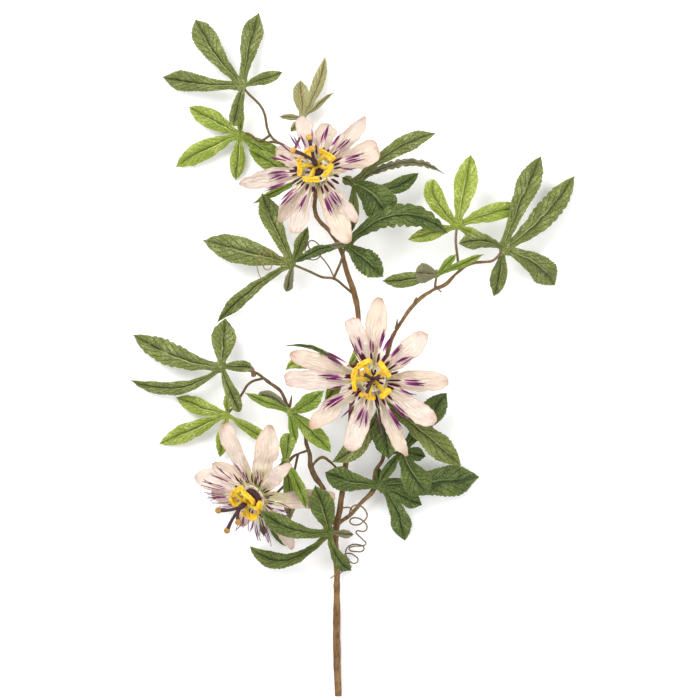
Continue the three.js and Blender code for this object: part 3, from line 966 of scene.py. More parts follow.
POINTED_PETAL_OUTLINE = (
    (0.0, 0.52), (0.15, 0.64), (0.35, 0.84), (0.58, 1.0), (0.74, 0.93), (0.86, 0.7), (0.94, 0.42),
    (1.0, 0.08),
)
BLUNT_PETAL_OUTLINE = (
    (0.0, 0.52), (0.15, 0.62), (0.4, 0.82), (0.65, 0.97), (0.85, 1.0), (0.94, 0.88), (0.98, 0.68),
    (1.0, 0.4),
)
PETAL_SECTION = ((0.0, -0.05), (0.2, 0.04), (0.4, -0.02), (0.6, 0.07), (0.8, 0.06), (1.0, 0.15))
THREAD_SECTION = ((0.0, 0.5), (1.0, -0.2))


class Cut(Enum):
    """The blade patterns that leaves and blooms are cut from."""

    DARK = BladePattern("lobe", 46, 8, LEAF_OUTLINE, LEAF_SECTION, teeth=0.08, quilting=0.06, smooth=0)
    OVAL = BladePattern(
        "oval_lobe", 40, 8, OVAL_OUTLINE, LEAF_SECTION, teeth=0.05, quilting=0.05, smooth=0
    )
    WAVY = BladePattern(
        "wavy_lobe", 40, 8, OVAL_OUTLINE, LEAF_SECTION, teeth=0.12, tooth_rows=3, ruffle=0.14,
        ruffles=7.0, quilting=0.05, smooth=0,
    )
    SCALLOPED = BladePattern(
        "scalloped_lobe", 48, 8, OVAL_OUTLINE, LEAF_SECTION, teeth=0.3, tooth_rows=4, ruffle=0.22,
        ruffles=6.0, quilting=0.05, smooth=0,
    )
    BLUNT = BladePattern(
        "blunt_lobe", 40, 8, BLUNT_OUTLINE, LEAF_SECTION, teeth=0.07, quilting=0.05, smooth=0
    )
    NARROW = BladePattern("narrow_lobe", 20, 6, NARROW_OUTLINE, LEAF_SECTION, teeth=0.08, smooth=0)
    CRINKLED = BladePattern(
        "crinkled_lobe", 52, 6, NARROW_OUTLINE, LEAF_SECTION, teeth=0.42, tooth_rows=4, ruffle=0.24,
        ruffles=8.0, smooth=0,
    )
    PETAL = BladePattern(
        "petal", 22, 10, PETAL_OUTLINE, PETAL_SECTION, ruffle=0.07, ruffles=2.2, lean=0.06
    )
    POINTED = BladePattern(
        "pointed_petal", 22, 10, POINTED_PETAL_OUTLINE, PETAL_SECTION, ruffle=0.08, ruffles=1.8,
        lean=-0.05,
    )
    RUFFLED = BladePattern(
        "ruffled_petal", 26, 10, PETAL_OUTLINE, PETAL_SECTION, teeth=0.08, tooth_rows=7, ruffle=0.16,
        ruffles=3.4, lean=-0.08,
    )
    SQUARED = BladePattern(
        "squared_petal", 22, 10, BLUNT_PETAL_OUTLINE, PETAL_SECTION, ruffle=0.08, ruffles=1.6
    )
    THREAD = BladePattern(
        "thread", 12, 2, ((0.0, 0.5), (0.45, 0.42), (0.6, 0.85), (0.8, 1.0), (1.0, 0.15)),
        THREAD_SECTION, thickness=0.5, smooth=0,
    )
    DASH = BladePattern(
        "dash", 8, 2, ((0.0, 0.5), (0.3, 1.0), (0.75, 0.9), (1.0, 0.2)), THREAD_SECTION, thickness=0.6,
        smooth=0,
    )
    STRAP = BladePattern(
        "strap", 8, 4, ((0.0, 0.6), (0.5, 0.85), (1.0, 1.0)), ((0.0, 0.3), (1.0, -0.2)), thickness=0.8
    )


class Spindle:
    """Round forms drawn out ring by ring along +X."""

    @staticmethod
    def make(
        name: str, rings: Sequence[tuple[float, float]], sides: int, smooth: int = 1
    ) -> bpy.types.Object:
        """Models a round form from a filled circle.

        Args:
            name: The piece's name.
            rings: The place along the form and the radius of each ring.
            sides: How many sides the circle has.
            smooth: How often the form is smoothed.

        Returns:
            The form, along +X.
        """
        Bench.clear()
        place, radius = rings[0]
        bpy.ops.mesh.primitive_circle_add(
            vertices=sides, radius=radius, fill_type="NGON", location=(place, 0.0, 0.0),
            rotation=(0.0, math.pi / 2.0, 0.0),
        )
        obj = bpy.context.object
        obj.name = name
        Bench.settle(obj)
        bpy.ops.object.mode_set(mode="EDIT")
        bpy.ops.mesh.select_all(action="SELECT")
        for next_place, next_radius in rings[1:]:
            step = {"value": (next_place - place, 0.0, 0.0)}
            bpy.ops.mesh.extrude_region_move(TRANSFORM_OT_translate=step)
            factor = next_radius / radius
            centre = (next_place, 0.0, 0.0)
            bpy.ops.transform.resize(value=(1.0, factor, factor), center_override=centre)
            place, radius = next_place, next_radius
        bpy.ops.mesh.select_all(action="SELECT")
        bpy.ops.mesh.normals_make_consistent(inside=False)
        bpy.ops.object.mode_set(mode="OBJECT")
        if smooth:
            Bench.modify(obj, "SUBSURF", {"levels": smooth, "render_levels": smooth})
        Bench.take(obj)
        bpy.ops.object.shade_smooth_by_angle(angle=FORM_SMOOTHING)
        return obj


class Rod:
    """A straight round rod, one long, that every stem, stalk and tendril is bent from."""

    masters: dict[tuple[int, int], bpy.types.Object] = {}

    @classmethod
    def cut(cls, name: str, sides: int, lengths: int) -> bpy.types.Object:
        """Cuts a fresh rod.

        Args:
            name: The rod's name.
            sides: How many sides it has.
            lengths: How many even lengths it is drawn in.

        Returns:
            The rod.
        """
        key = (sides, lengths)
        if key not in cls.masters:
            rings = [(i / lengths, 1.0) for i in range(lengths + 1)]
            cls.masters[key] = Spindle.make("rod", rings, sides, 0)
            cls.masters[key].hide_render = True
        twin = Bench.copy(cls.masters[key], name)
        twin.hide_render = False
        return twin


def tube(
    name: str, points: Sequence[Place], radii: Sequence[float], sides: int = 8, lengths: int = 40
) -> bpy.types.Object:
    """Bends a rod through points.

    Args:
        name: The piece's name.
        points: The places it passes through, in millimetres.
        radii: Its radius at each point, or at the two ends only.
        sides: How many sides the rod has.
        lengths: How many lengths it is drawn in.

    Returns:
        The tube.
    """
    places = [Vector(point) for point in points]
    if len(radii) != len(places):
        steps = len(places) - 1
        radii = [radii[0] + (radii[-1] - radii[0]) * i / steps for i in range(steps + 1)]
    return Bench.bend(Rod.cut(name, sides, lengths), Route(places, radii=list(radii)), (1.0, 1.0))


def keep(obj: bpy.types.Object, slot: str, *nodes: str) -> None:
    """Hands a finished piece to the frame: it rides on the root and stands for CAD nodes.

    Args:
        obj: The piece.
        slot: Its material slot; not used.
        nodes: The CAD nodes that it stands for.
    """
    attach(obj, "root")
    if nodes:
        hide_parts(*nodes)
    log.info("%s: %d faces", obj.name, len(obj.data.polygons))


# ----------------------------------------------------------------------------------------------- leaves


@dataclass
class Lobe:
    """One lobe of a leaf, from the hub to its tip."""

    tip: Place
    width: float
    via: Place | None = None
    cut: Cut | None = None
    roll: float = 0.0
    finish: LeafFinish | None = None
    raised: float = 0.0

    def build(self, leaf: "Leaf", number: int) -> bpy.types.Object:
        """Cuts the lobe, bends it from the hub to its tip and dresses it.

        Args:
            leaf: The leaf that it belongs to.
            number: Its place among the lobes, from 0.

        Returns:
            The lobe.
        """
        hub, tip = Vector(leaf.hub), Vector(self.tip)
        rise = LOBE_RISE * (tip - hub).length
        via = Vector(self.via) if self.via else (hub + tip) * 0.5 + UP * rise
        step = UP * (LOBE_LAYER * number + self.raised)
        route = Route.arched(hub + step, via + step, tip + UP * self.raised)
        route.face(UP, (self.roll * ROLL_AT_HUB, self.roll))
        pattern = (self.cut or leaf.cut).value
        blade = pattern.lay(f"{leaf.name}_lobe", route, (self.width * 0.5, LEAF_RELIEF), LEAF_CRUMPLE)
        return PAINT.coat(blade, self.finish or leaf.finish, LEAF_BACK)


LOBE_LAYER = 0.12
LOBE_RISE = 0.06
ROLL_AT_HUB = 0.2
LEAF_RELIEF = 7.0
LEAF_CRUMPLE = 1.8
LEAF_STALK_RADIUS = 0.85
LEAF_KNUCKLE = (2.4, 2.4, 0.9)


@dataclass
class Leaf:
    """A palmate leaf: its lobes, the knuckle where they meet and its stalk."""

    name: str
    finish: LeafFinish
    hub: Place
    lobes: list[Lobe]
    stalk: list[Place]
    cut: Cut = Cut.DARK
    stalk_finish: SpeckledFinish = OLIVE_BARK
    wires: "list[Wire]" = field(default_factory=list)

    def build(self) -> None:
        """Builds the whole leaf as one piece."""
        parts = [lobe.build(self, i) for i, lobe in enumerate(self.lobes)]
        parts.append(self._knuckle())
        parts.append(self._stalk())
        parts += [wire.bend() for wire in self.wires]
        keep(Bench.weld(parts, f"{self.name}_cloth"), self.finish.slot, self.name)

    def _stalk(self) -> bpy.types.Object:
        """Bends the stalk from just under the hub to the stem.

        Returns:
            The stalk.
        """
        start = Vector(self.hub) - UP * 0.5
        route = [tuple(start), *self.stalk]
        rod = tube("stalk", route, (LEAF_STALK_RADIUS, LEAF_STALK_RADIUS * 1.1), 8, 24)
        return PAINT.coat(rod, self.stalk_finish)

    def _knuckle(self) -> bpy.types.Object:
        """Makes the small raised pad where the middle ribs of the lobes meet.

        Returns:
            The pad.
        """
        Bench.clear()
        bpy.ops.mesh.primitive_uv_sphere_add(segments=12, ring_count=8, radius=1.0)
        pad = bpy.context.object
        pad.scale = [size * MM for size in LEAF_KNUCKLE]
        pad.location = Vector(self.hub) * MM
        Bench.settle(pad)
        bpy.ops.object.shade_smooth()
        return PAINT.coat(pad, self.finish)


@dataclass
class Wire:
    """A loose wrapped wire: a stub, a thorn or a coil."""

    points: list[Place]
    root_radius: float = 0.6
    end_radius: float = 0.5
    finish: SpeckledFinish = TENDRIL_WRAP
    lengths: int = 40

    def bend(self) -> bpy.types.Object:
        """Bends the wire."""
        rod = tube("wire", self.points, (self.root_radius, self.end_radius), 8, self.lengths)
        return PAINT.coat(rod, self.finish)


def leaves() -> list[Leaf]:
    """Lists the twenty leaves of the spray, from the top of the stem down.

    Returns:
        The leaves.
    """
    wavy, narrow, oval, blunt, scalloped = Cut.WAVY, Cut.NARROW, Cut.OVAL, Cut.BLUNT, Cut.SCALLOPED
    coils = [
        Wire([
            (-46, 64, 29), (-52, 68, 31), (-59, 72, 30), (-63, 66, 29), (-59, 59, 29), (-56, 66, 30),
            (-60, 74, 29), (-66, 68, 27), (-66, 58, 25), (-62, 50, 24),
        ], 0.42, 0.34, GOLD_WRAP, 60),
        Wire([
            (-13, 54, 28), (-17, 62, 30), (-24, 70, 33), (-30, 74, 35), (-30, 79, 35), (-24, 77, 34),
            (-22, 70, 33), (-28, 66, 33), (-33, 71, 33), (-31, 78, 32),
        ], 0.5, 0.36, TENDRIL_WRAP, 60),
    ]
    return [
        Leaf("leaf_top_left", DARK_LEAF, (-77, 188, 16), [
            Lobe((-110, 236, 0), 18, (-97, 212, 15)),
            Lobe((-66, 240, 4), 16, (-74, 208, 14), roll=-18),
            Lobe((-133, 195, 0), 15, (-107, 190, 13)),
            Lobe((-49, 198, 12), 9, cut=oval),
            Lobe((-83, 160, 18), 10, cut=blunt),
        ], [
            (-75, 185, 16), (-63, 172, 15), (-58, 154, 14), (-53, 149, 14.5), (-47, 146, 15),
            (-36, 136, 18), (-31, 124, 26), (-26, 108.5, 37.3),
        ], wires=[
            Wire([(-52, 148.5, 14.5), (-56, 149, 15), (-60, 148.5, 15)], 1.1, 0.7, OLIVE_BARK, 12),
        ]),
        Leaf("leaf_upper_left_light", LIGHT_LEAF, (-79, 154, 9), [
            Lobe((-115, 174, 3), 14), Lobe((-124, 132, 0), 15, (-103, 144, 7)),
            Lobe((-82, 122, 2), 11), Lobe((-44, 130, 8), 15, (-63, 144, 8), finish=MID_LEAF),
            Lobe((-81, 177, 19), 7.5, (-79, 166, 14.5), oval),
        ], [(-74, 155, 9), (-65, 150, 10.5), (-58.5, 153, 13.8)], oval),
        Leaf("leaf_behind_upper_flower", MID_LEAF, (-37, 122, 18), [
            Lobe((-73, 144, 16), 12, (-53, 131, 17.5)), Lobe((-70, 106, 12), 6, cut=narrow),
            Lobe((-42, 98, 13), 7, cut=narrow),
        ], [(-34, 115, 27), (-26.2, 111, 37.7)], oval),
        Leaf("leaf_top_pale", PALE_LEAF, (-35, 166, 12), [
            Lobe((-37, 193, 8), 12), Lobe((-19, 209, 4), 9, (-26, 185, 10)),
            Lobe((-13, 184, 8), 4, cut=narrow), Lobe((-51, 167, 14), 5, cut=narrow),
            Lobe((-43, 156, 12), 6, cut=narrow),
        ], [(-37, 152, 11), (-40, 145, 13), (-40.5, 140.5, 16.5)], oval),
        Leaf("leaf_upper_middle", DARK_LEAF, (1, 119, 26), [
            Lobe((58, 155, 22), 13, (26, 141, 28)),
            Lobe((64, 126, 24), 7, (36, 134, 27), Cut.CRINKLED, 10, LEAF_BACK),
            Lobe((46, 127, 20), 11, (24, 116, 25), finish=DEEP_LEAF),
            Lobe((24, 96, 31), 25, (15, 110, 31), blunt, finish=DEEP_LEAF),
            Lobe((0, 86, 28), 8, cut=oval), Lobe((-7, 124, 25), 8, cut=narrow),
        ], [(-4, 100, 27), (-12, 81.5, 32)]),
        Leaf("leaf_wavy_middle", DEEP_LEAF, (-5, 76, 42), [
            Lobe((66, 84, 38), 17, (32, 97, 43), scalloped), Lobe((21, 54, 43), 18, (6, 68, 45)),
            Lobe((-40, 64, 38), 8, (-24, 72, 42), roll=20),
            Lobe((-16, 76, 44), 5, cut=narrow, finish=LEAF_BACK),
        ], [(-8, 65, 38), (-11, 58, 33), (-13, 53.5, 28.5)], wavy),
        Leaf("leaf_left_middle", DARK_LEAF, (-42, 63, 26), [
            Lobe((-105, 80, 6), 20, (-75, 72, 20), oval), Lobe((-63, 113, 22), 16, (-54, 89, 26)),
            Lobe((-31, 89, 30), 9, cut=oval), Lobe((-95, 23, 3), 11, (-67, 48, 17), roll=24),
            Lobe((-46, 44, 14), 7, cut=blunt, finish=LEAF_BACK),
        ], [(-30, 58, 27), (-21, 54, 28), (-13, 53, 28), (-5, 47, 27), (1.5, 41.5, 26)], wires=coils),
        Leaf("leaf_right_light", LIGHT_LEAF, (73, 90, 32), [
            Lobe((57, 122, 34), 14, (58, 108, 36), blunt), Lobe((83, 140, 24), 17),
            Lobe((120, 103, 17), 13, (97, 99, 25)), Lobe((39, 80, 29), 11),
            Lobe((93, 80, 26), 8, cut=narrow),
        ], [(72, 80, 32), (73, 70, 31), (74.5, 58, 28.5)], oval, TENDRIL_WRAP),
        Leaf("leaf_right_tip", DARK_LEAF, (105, 74, 28), [
            Lobe((132, 139, 10), 17, (117, 105, 24)), Lobe((156, 125, 0), 18, (130, 93, 18), wavy),
            Lobe((142, 49, 0), 20, (127, 64, 17)), Lobe((99, 41, 10), 12, (103, 57, 21), oval),
            Lobe((74, 77, 41), 12, (91, 79, 39)),
        ], [(101, 68, 27.5), (97.2, 65.2, 27), (94, 64.7, 27.1)], Cut.DARK, TENDRIL_WRAP),
        Leaf("leaf_small_right", MID_LEAF, (59, 56, 36), [
            Lobe((21, 51, 37), 11, (42, 52.5, 39), finish=DARK_LEAF),
            Lobe((44, 57, 39), 15, cut=blunt, finish=LEAF_BACK, raised=1.5),
            Lobe((72, 70, 37), 6, cut=narrow), Lobe((92, 70, 32.5), 6, cut=narrow),
        ], [(58, 51, 34), (57.5, 45.8, 29)], oval, TENDRIL_WRAP,
            [Wire([(57.5, 49, 31), (59.5, 46, 31), (62, 43.5, 30.5)], 0.7, 0.5, TENDRIL_WRAP, 12)]),
        Leaf("leaf_far_left", DARK_LEAF, (-92, -9, 18), [
            Lobe((-154, 14, 0), 18, (-122, -2, 13), wavy, -10),
            Lobe((-156, -18, 0), 10, (-122, -23.5, 13), oval, 12), Lobe((-89, 25, 13), 18, cut=oval),
            Lobe((-70, -9, 27), 9, (-81, -8, 24), blunt, 20), Lobe((-79, -40, 25), 10, cut=blunt),
        ], [(-79, -10, 20.5), (-67, -13, 22), (-63.5, -15.2, 22.3)], wires=[
            Wire([(-71, -9, 27), (-69.5, -12, 26), (-69, -15, 24.5)], 1.5, 1.8, TENDRIL_WRAP, 8),
        ]),
        Leaf("leaf_left_light", LIGHT_LEAF, (-88, -42, 12), [
            Lobe((-124, -30, 2), 12, (-106, -37, 9)), Lobe((-136, -63, 0), 13, (-113, -53, 8)),
            Lobe((-93, -72, 7), 10), Lobe((-56, -62, 14), 9), Lobe((-88, -27, 9), 6, cut=narrow),
        ], [(-82, -35, 14), (-77, -27, 16), (-72, -20, 19), (-62, -16.5, 22.5)], oval, DARK_BARK),
        Leaf("leaf_centre_left", MID_LEAF, (-44, -40, 32), [
            Lobe((-75, -27, 30), 7, cut=narrow),
            Lobe((-66, -30, 28), 8, (-57, -30, 30), blunt, finish=LEAF_BACK),
            Lobe((-20, -25, 53), 12, (-33, -35, 44)), Lobe((-15, -68, 36), 13, (-27, -55, 36)),
            Lobe((-39, -62, 33), 7, cut=narrow),
        ], [(-44.5, -37.5, 24.5)], oval),
        Leaf("leaf_beside_lower_flower", MID_LEAF, (-47, -74, 40), [
            Lobe((-44, -55, 38), 12, cut=blunt), Lobe((-53, -84, 45), 4, cut=narrow, finish=DEEP_LEAF),
            Lobe((-32, -107, 47), 8, (-38, -90, 45)), Lobe((-44, -117, 18), 10, (-44, -94, 28)),
        ], [(-46.5, -76, 32)], oval),
        Leaf("leaf_behind_lower_flower", DEEP_LEAF, (-63, -105, 5), [
            Lobe((-98, -91, 1), 8, cut=oval), Lobe((-90, -104, 1), 7, cut=oval),
            Lobe((-62, -128, 3), 7, cut=narrow), Lobe((-47, -135, 2), 9, cut=oval),
        ], [(-52, -96, 14), (-42, -84, 22), (-38, -69.5, 25.5)]),
        Leaf("leaf_behind_middle_flower", LIGHT_LEAF, (-5, -12, 29), [
            Lobe((10.5, 18.5, 32), 8, (5, 4, 31)),
            Lobe((-46, 6, 31), 3.5, (-22, 2.5, 31), narrow, 0, DARK_LEAF),
            Lobe((-47, -11, 29), 12, (-29, -4, 30)), Lobe((-19, -33, 28), 9),
        ], [(0.8, -12, 21)], oval),
        Leaf("leaf_below_middle_flower", DEEP_LEAF, (21, -33, 30), [
            Lobe((-14, -75, 27), 14, (7, -60, 31), finish=DARK_LEAF), Lobe((25, -73, 32), 20, cut=oval),
            Lobe((76, -78, 30), 18, (47, -53, 32), finish=DARK_LEAF),
        ], [(22.5, -33, 17.8)]),
        Leaf("leaf_lower_right", DEEP_LEAF, (35, -67, 22), [
            Lobe((66, -27, 19), 17), Lobe((53, -98, 25), 22, (41, -82, 25)),
            Lobe((18, -90, 25), 8, cut=oval), Lobe((25, -42, 21), 8, cut=oval),
            Lobe((51, -71, 20), 10, cut=oval),
        ], [(29, -69, 18), (21.3, -70, 14.2)]),
        Leaf("leaf_bottom_right", DEEP_LEAF, (19, -91, 18), [
            Lobe((-19, -82, 22), 18, (0, -89, 22)), Lobe((37, -131, 0), 15, (30, -107, 13)),
            Lobe((89, -86, 0), 23, (54, -90, 13)), Lobe((49, -106, 8), 12),
            Lobe((18, -78, 21), 6, cut=narrow),
        ], [(16, -88, 13.2)]),
        Leaf("leaf_bottom_left", MOSS_LEAF, (-16, -124, 29), [
            Lobe((-26, -91, 45), 18, (-20, -108, 39), oval), Lobe((-64, -108, 63), 14, (-40, -122, 52)),
            Lobe((-72, -135, 0), 12, (-46, -144, 16)), Lobe((-1, -152, 3), 11, (-12, -139, 21)),
            Lobe((1, -126, 25), 6, cut=oval, finish=LEAF_BACK),
        ], [(-14, -125, 22), (-12, -126, 12)]),
    ]


# ----------------------------------------------------------------------------------------------- blooms


@dataclass
class Petal:
    """One petal or sepal of a bloom."""

    part: str
    tip: Place
    width: float
    arch: float
    roll: float = 0.0
    cut: Cut = Cut.PETAL
    level: float = 0.4

    @property
    def is_sepal(self) -> bool:
        """Says whether it belongs to the outer ring."""
        return self.part.startswith("sepal")


PETAL_RELIEF = 6.0
PETAL_CRUMPLE = 4.0
PETAL_SWAY = 1.6


ANTHER_RINGS = (
    (0.0, 0.3), (0.02, 0.66), (0.08, 0.95), (0.22, 1.04), (0.5, 0.9), (0.78, 1.04), (0.92, 0.95),
    (0.98, 0.66), (1.0, 0.3),
)
CUP_RINGS = ((-8.0, 1.6), (-7.6, 2.4), (-5.6, 4.6), (-3.0, 6.2), (0.0, 6.4), (3.0, 6.4), (3.3, 6.0))
NECTARY_RINGS = (
    (3.2, 9.0), (3.8, 9.3), (4.3, 8.4), (3.9, 6.6), (4.7, 5.6), (4.4, 3.6), (4.5, 2.9), (5.8, 2.2),
)
EYE_RADIUS = 4.6
CROWN_RINGS = ((3.2, 1.0), (5.0, 0.88), (7.2, 1.0), (8.2, 0.8), (8.0, 0.4))
COLUMN_RINGS = (
    (3.2, 1.8), (8.0, 1.7), (11.0, 1.6), (12.4, 2.0), (13.6, 1.8), (15.2, 1.9), (17.2, 2.3),
    (19.0, 2.1), (20.4, 1.4),
)
COLUMN_GREEN_FROM = 8.6
ANTHER_RELIEF = 1.8
ANTHER_CRUMPLE = 3.6
STIGMA_SIZE = (2.4, 2.4, 2.2)
PALE_THREAD_COUNT = 14
PALE_THREAD_GIRTH = 0.36


@dataclass
class Bloom:
    """An open bloom: petals, cup, corona of threads, column, anthers, styles and stigmas."""

    name: str
    centre: Place
    axis: Place
    anthers: list[tuple[float, float, float, float]]
    stigmas: list[Place]
    tufts: list[tuple[float, float, int, float]]
    petals: list[Petal]
    seat_radius: float = 5.5
    seat_height: float = 0.7
    sepal_drop: float = 1.9
    collar_radius: float = 9.0
    collar_height: float = 3.2
    column_height: float = 20.0
    anther_height: float = 13.0
    crown_radius: float = 4.2
    stray: float = 1.2
    thread_girth: float = 1.0
    dashes: int = 24
    anther_girth: float = 2.3
    stigma_finish: SpeckledFinish = STIGMA
    dice: random.Random = field(default_factory=lambda: random.Random(RANDOM_SEED))

    def __post_init__(self) -> None:
        """Works out the bloom's own frame."""
        self.middle = Vector(self.centre)
        self.way = Vector(self.axis).normalized()
        self.turn: Quaternion = UP.rotation_difference(self.way)

    def at(self, radius: float, angle: float, height: float) -> Vector:
        """Finds a place by its distance from the axis.

        Args:
            radius: The distance, in millimetres.
            angle: The angle round the axis, in degrees.
            height: The height above the centre.

        Returns:
            The place.
        """
        turned = math.radians(angle)
        local = Vector((radius * math.cos(turned), radius * math.sin(turned), height))
        return self.turn @ local + self.middle

    def over(self, x: float, y: float, height: float) -> Vector:
        """Finds the place at a height above the petals that lies straight over a spot.

        Args:
            x: The spot's x, in millimetres.
            y: The spot's y.
            height: The height along the bloom's axis.

        Returns:
            The place.
        """
        centre = self.middle + self.way * height
        flat = Vector((x - centre.x, y - centre.y, 0.0))
        drop = -flat.dot(self.way) / self.way.z
        return centre + flat + UP * drop

    def stand(self, obj: bpy.types.Object) -> bpy.types.Object:
        """Moves a form made in millimetres along +X onto the bloom's axis.

        Args:
            obj: The form.

        Returns:
            The same object.
        """
        obj.rotation_mode = "QUATERNION"
        obj.rotation_quaternion = Vector((1.0, 0.0, 0.0)).rotation_difference(self.way)
        obj.location = self.middle * MM
        obj.scale = (MM, MM, MM)
        Bench.settle(obj)
        return obj

    def build(self) -> None:
        """Builds every piece of the bloom."""
        for petal in self.petals:
            self._petal(petal)
        parts = [self._cup(), self._nectary(), self._crown(), self._column()]
        parts += [*self._anthers(), *self._styles()]
        keep(Bench.weld(parts, f"{self.name}_heart"), "flower_centre", f"{self.name}_centre")
        threads = [*self._tufts(), *self._dashes(), *self._pale_threads()]
        keep(Bench.weld(threads, f"{self.name}_threads"), "flower_centre")

    def _petal(self, petal: Petal) -> None:
        """Builds one petal on its seat.

        Args:
            petal: The petal or sepal.
        """
        tip = Vector(petal.tip)
        drop = self.sepal_drop if petal.is_sepal else 0.0
        reach = tip - self.middle
        outward = (reach - self.way * reach.dot(self.way)).normalized()
        base = self.middle + outward * self.seat_radius + self.way * (self.seat_height - drop)
        sway = self.way.cross(outward) * self.dice.uniform(-PETAL_SWAY, PETAL_SWAY)
        via = (base + tip) * 0.5 + self.way * (petal.arch - drop * 0.5) + sway
        facing = self.way + UP * petal.level
        route = Route.arched(base, via, tip).face(facing, (0.0, petal.roll))
        node = f"{self.name}_{petal.part}"
        girth = (petal.width * 0.5, PETAL_RELIEF)
        blade = petal.cut.value.lay(f"{node}_cloth", route, girth, PETAL_CRUMPLE)
        finish = SEPAL if petal.is_sepal else PETAL
        PAINT.coat(blade, finish, SEPAL)
        keep(blade, finish.slot, node)

    def _cup(self) -> bpy.types.Object:
        """The green cup under the petals."""
        return PAINT.coat(self.stand(Spindle.make("cup", CUP_RINGS, 20)), CUP)

    def _nectary(self) -> bpy.types.Object:
        """Makes the pale fluted dish inside the ring of anthers, dark at its middle.

        Returns:
            The dish.
        """
        dish = self.stand(Spindle.make("nectary", NECTARY_RINGS, 28))
        PAINT.coat(dish, NECTARY, STYLE)
        for face in dish.data.polygons:
            out = face.center / MM - self.middle
            face.material_index = 1 if (out - self.way * out.dot(self.way)).length < EYE_RADIUS else 0
        return dish

    def _crown(self) -> bpy.types.Object:
        """The dark crown round the foot of the column."""
        rings = [(height, radius * self.crown_radius) for height, radius in CROWN_RINGS]
        return PAINT.coat(self.stand(Spindle.make("crown", rings, 18)), STYLE)

    def _column(self) -> bpy.types.Object:
        """Makes the column with the dark swelling under the styles.

        Returns:
            The column.
        """
        post = self.stand(Spindle.make("column", COLUMN_RINGS, 14))
        PAINT.coat(post, ANTHER_STRAP, STYLE)
        for face in post.data.polygons:
            height = (face.center / MM - self.middle).dot(self.way)
            face.material_index = 0 if COLUMN_GREEN_FROM < height < self.anther_height + 1.0 else 1
        return post

    def _anthers(self) -> list[bpy.types.Object]:
        """Makes five anthers, each a grooved bean hinged across the end of its strap.

        Returns:
            The beans and straps.
        """
        parts = []
        hub = self.middle + self.way * (self.anther_height - 1.0)
        for first_x, first_y, last_x, last_y in self.anthers:
            first = self.over(first_x, first_y, self.anther_height)
            last = self.over(last_x, last_y, self.anther_height)
            middle = (first + last) * 0.5
            out = (middle - hub).normalized()
            first = first + (first - middle) * 0.04 - out * 1.0
            last = last + (last - middle) * 0.04 - out * 1.0
            route = Route.arched(first, middle - out * 0.2 + self.way * 0.8, last).face(self.way)
            bean = Spindle.make("anther", ANTHER_RINGS, 12)
            bpy.ops.object.mode_set(mode="EDIT")
            Bench.pick(bean, lambda spot: spot.z > 0.5 and abs(spot.y) < 0.3 and 0.04 < spot.x < 0.96)
            bpy.ops.transform.translate(value=(0.0, 0.0, -0.4))
            bpy.ops.object.mode_set(mode="OBJECT")
            girth = self.anther_girth * self.dice.uniform(0.86, 1.16)
            parts.append(PAINT.coat(Bench.bend(bean, route, (girth, ANTHER_RELIEF)), ANTHER))
            Bench.crumple(bean, ANTHER_CRUMPLE)
            knee = (hub + middle) * 0.5 + self.way * 1.6
            route = Route.arched(hub + out, knee, middle - out * 0.4 + self.way * 1.2).face(self.way)
            strap = Cut.STRAP.value.lay("strap", route, (self.anther_girth * 0.8, ANTHER_RELIEF))
            parts.append(PAINT.coat(strap, ANTHER_STRAP, ANTHER_STRAP))
        return parts

    def _styles(self) -> list[bpy.types.Object]:
        """Makes three club-shaped styles, each with a round stigma.

        Returns:
            The styles and stigmas.
        """
        parts = []
        root = self.middle + self.way * (self.column_height - 0.6)
        for place in self.stigmas:
            end = Vector(place)
            knee = (root + end) * 0.5 + self.way * 2.0
            rod = tube("style", [tuple(root), tuple(knee), tuple(end)], (1.15, 1.1, 1.6), 10, 16)
            parts.append(PAINT.coat(rod, STYLE))
            parts.append(self._stigma(end))
        return parts

    def _stigma(self, place: Vector) -> bpy.types.Object:
        """Makes a stigma: a ball dented on top.

        Args:
            place: Its middle, in millimetres.

        Returns:
            The stigma.
        """
        Bench.clear()
        bpy.ops.mesh.primitive_uv_sphere_add(segments=14, ring_count=10, radius=1.0)
        ball = bpy.context.object
        bpy.ops.object.mode_set(mode="EDIT")
        Bench.pick(ball, lambda spot: spot.z > 0.9)
        bpy.ops.transform.translate(value=(0.0, 0.0, -0.22))
        bpy.ops.object.mode_set(mode="OBJECT")
        Bench.modify(ball, "SUBSURF", {"levels": 1, "render_levels": 1})
        bpy.ops.object.shade_smooth()
        ball.scale = [size * MM for size in STIGMA_SIZE]
        ball.location = place * MM
        Bench.settle(ball)
        return PAINT.coat(ball, self.stigma_finish)

    def _thread(
        self, start: Vector, end: Vector, bow: Vector, girth: float, finish: ThreadFinish
    ) -> bpy.types.Object:
        """Bends one thread.

        Args:
            start: Where it leaves the collar, in millimetres.
            end: Its free tip.
            bow: How far its middle stands off the straight line.
            girth: Its half width.
            finish: Its finish.

        Returns:
            The thread.
        """
        route = Route.arched(start, (start + end) * 0.5 + bow, end).face(self.way)
        cut = Cut.DASH if finish is DASH else Cut.THREAD
        thread = cut.value.lay("thread", route, (girth, girth))
        return PAINT.coat(thread, finish, finish)

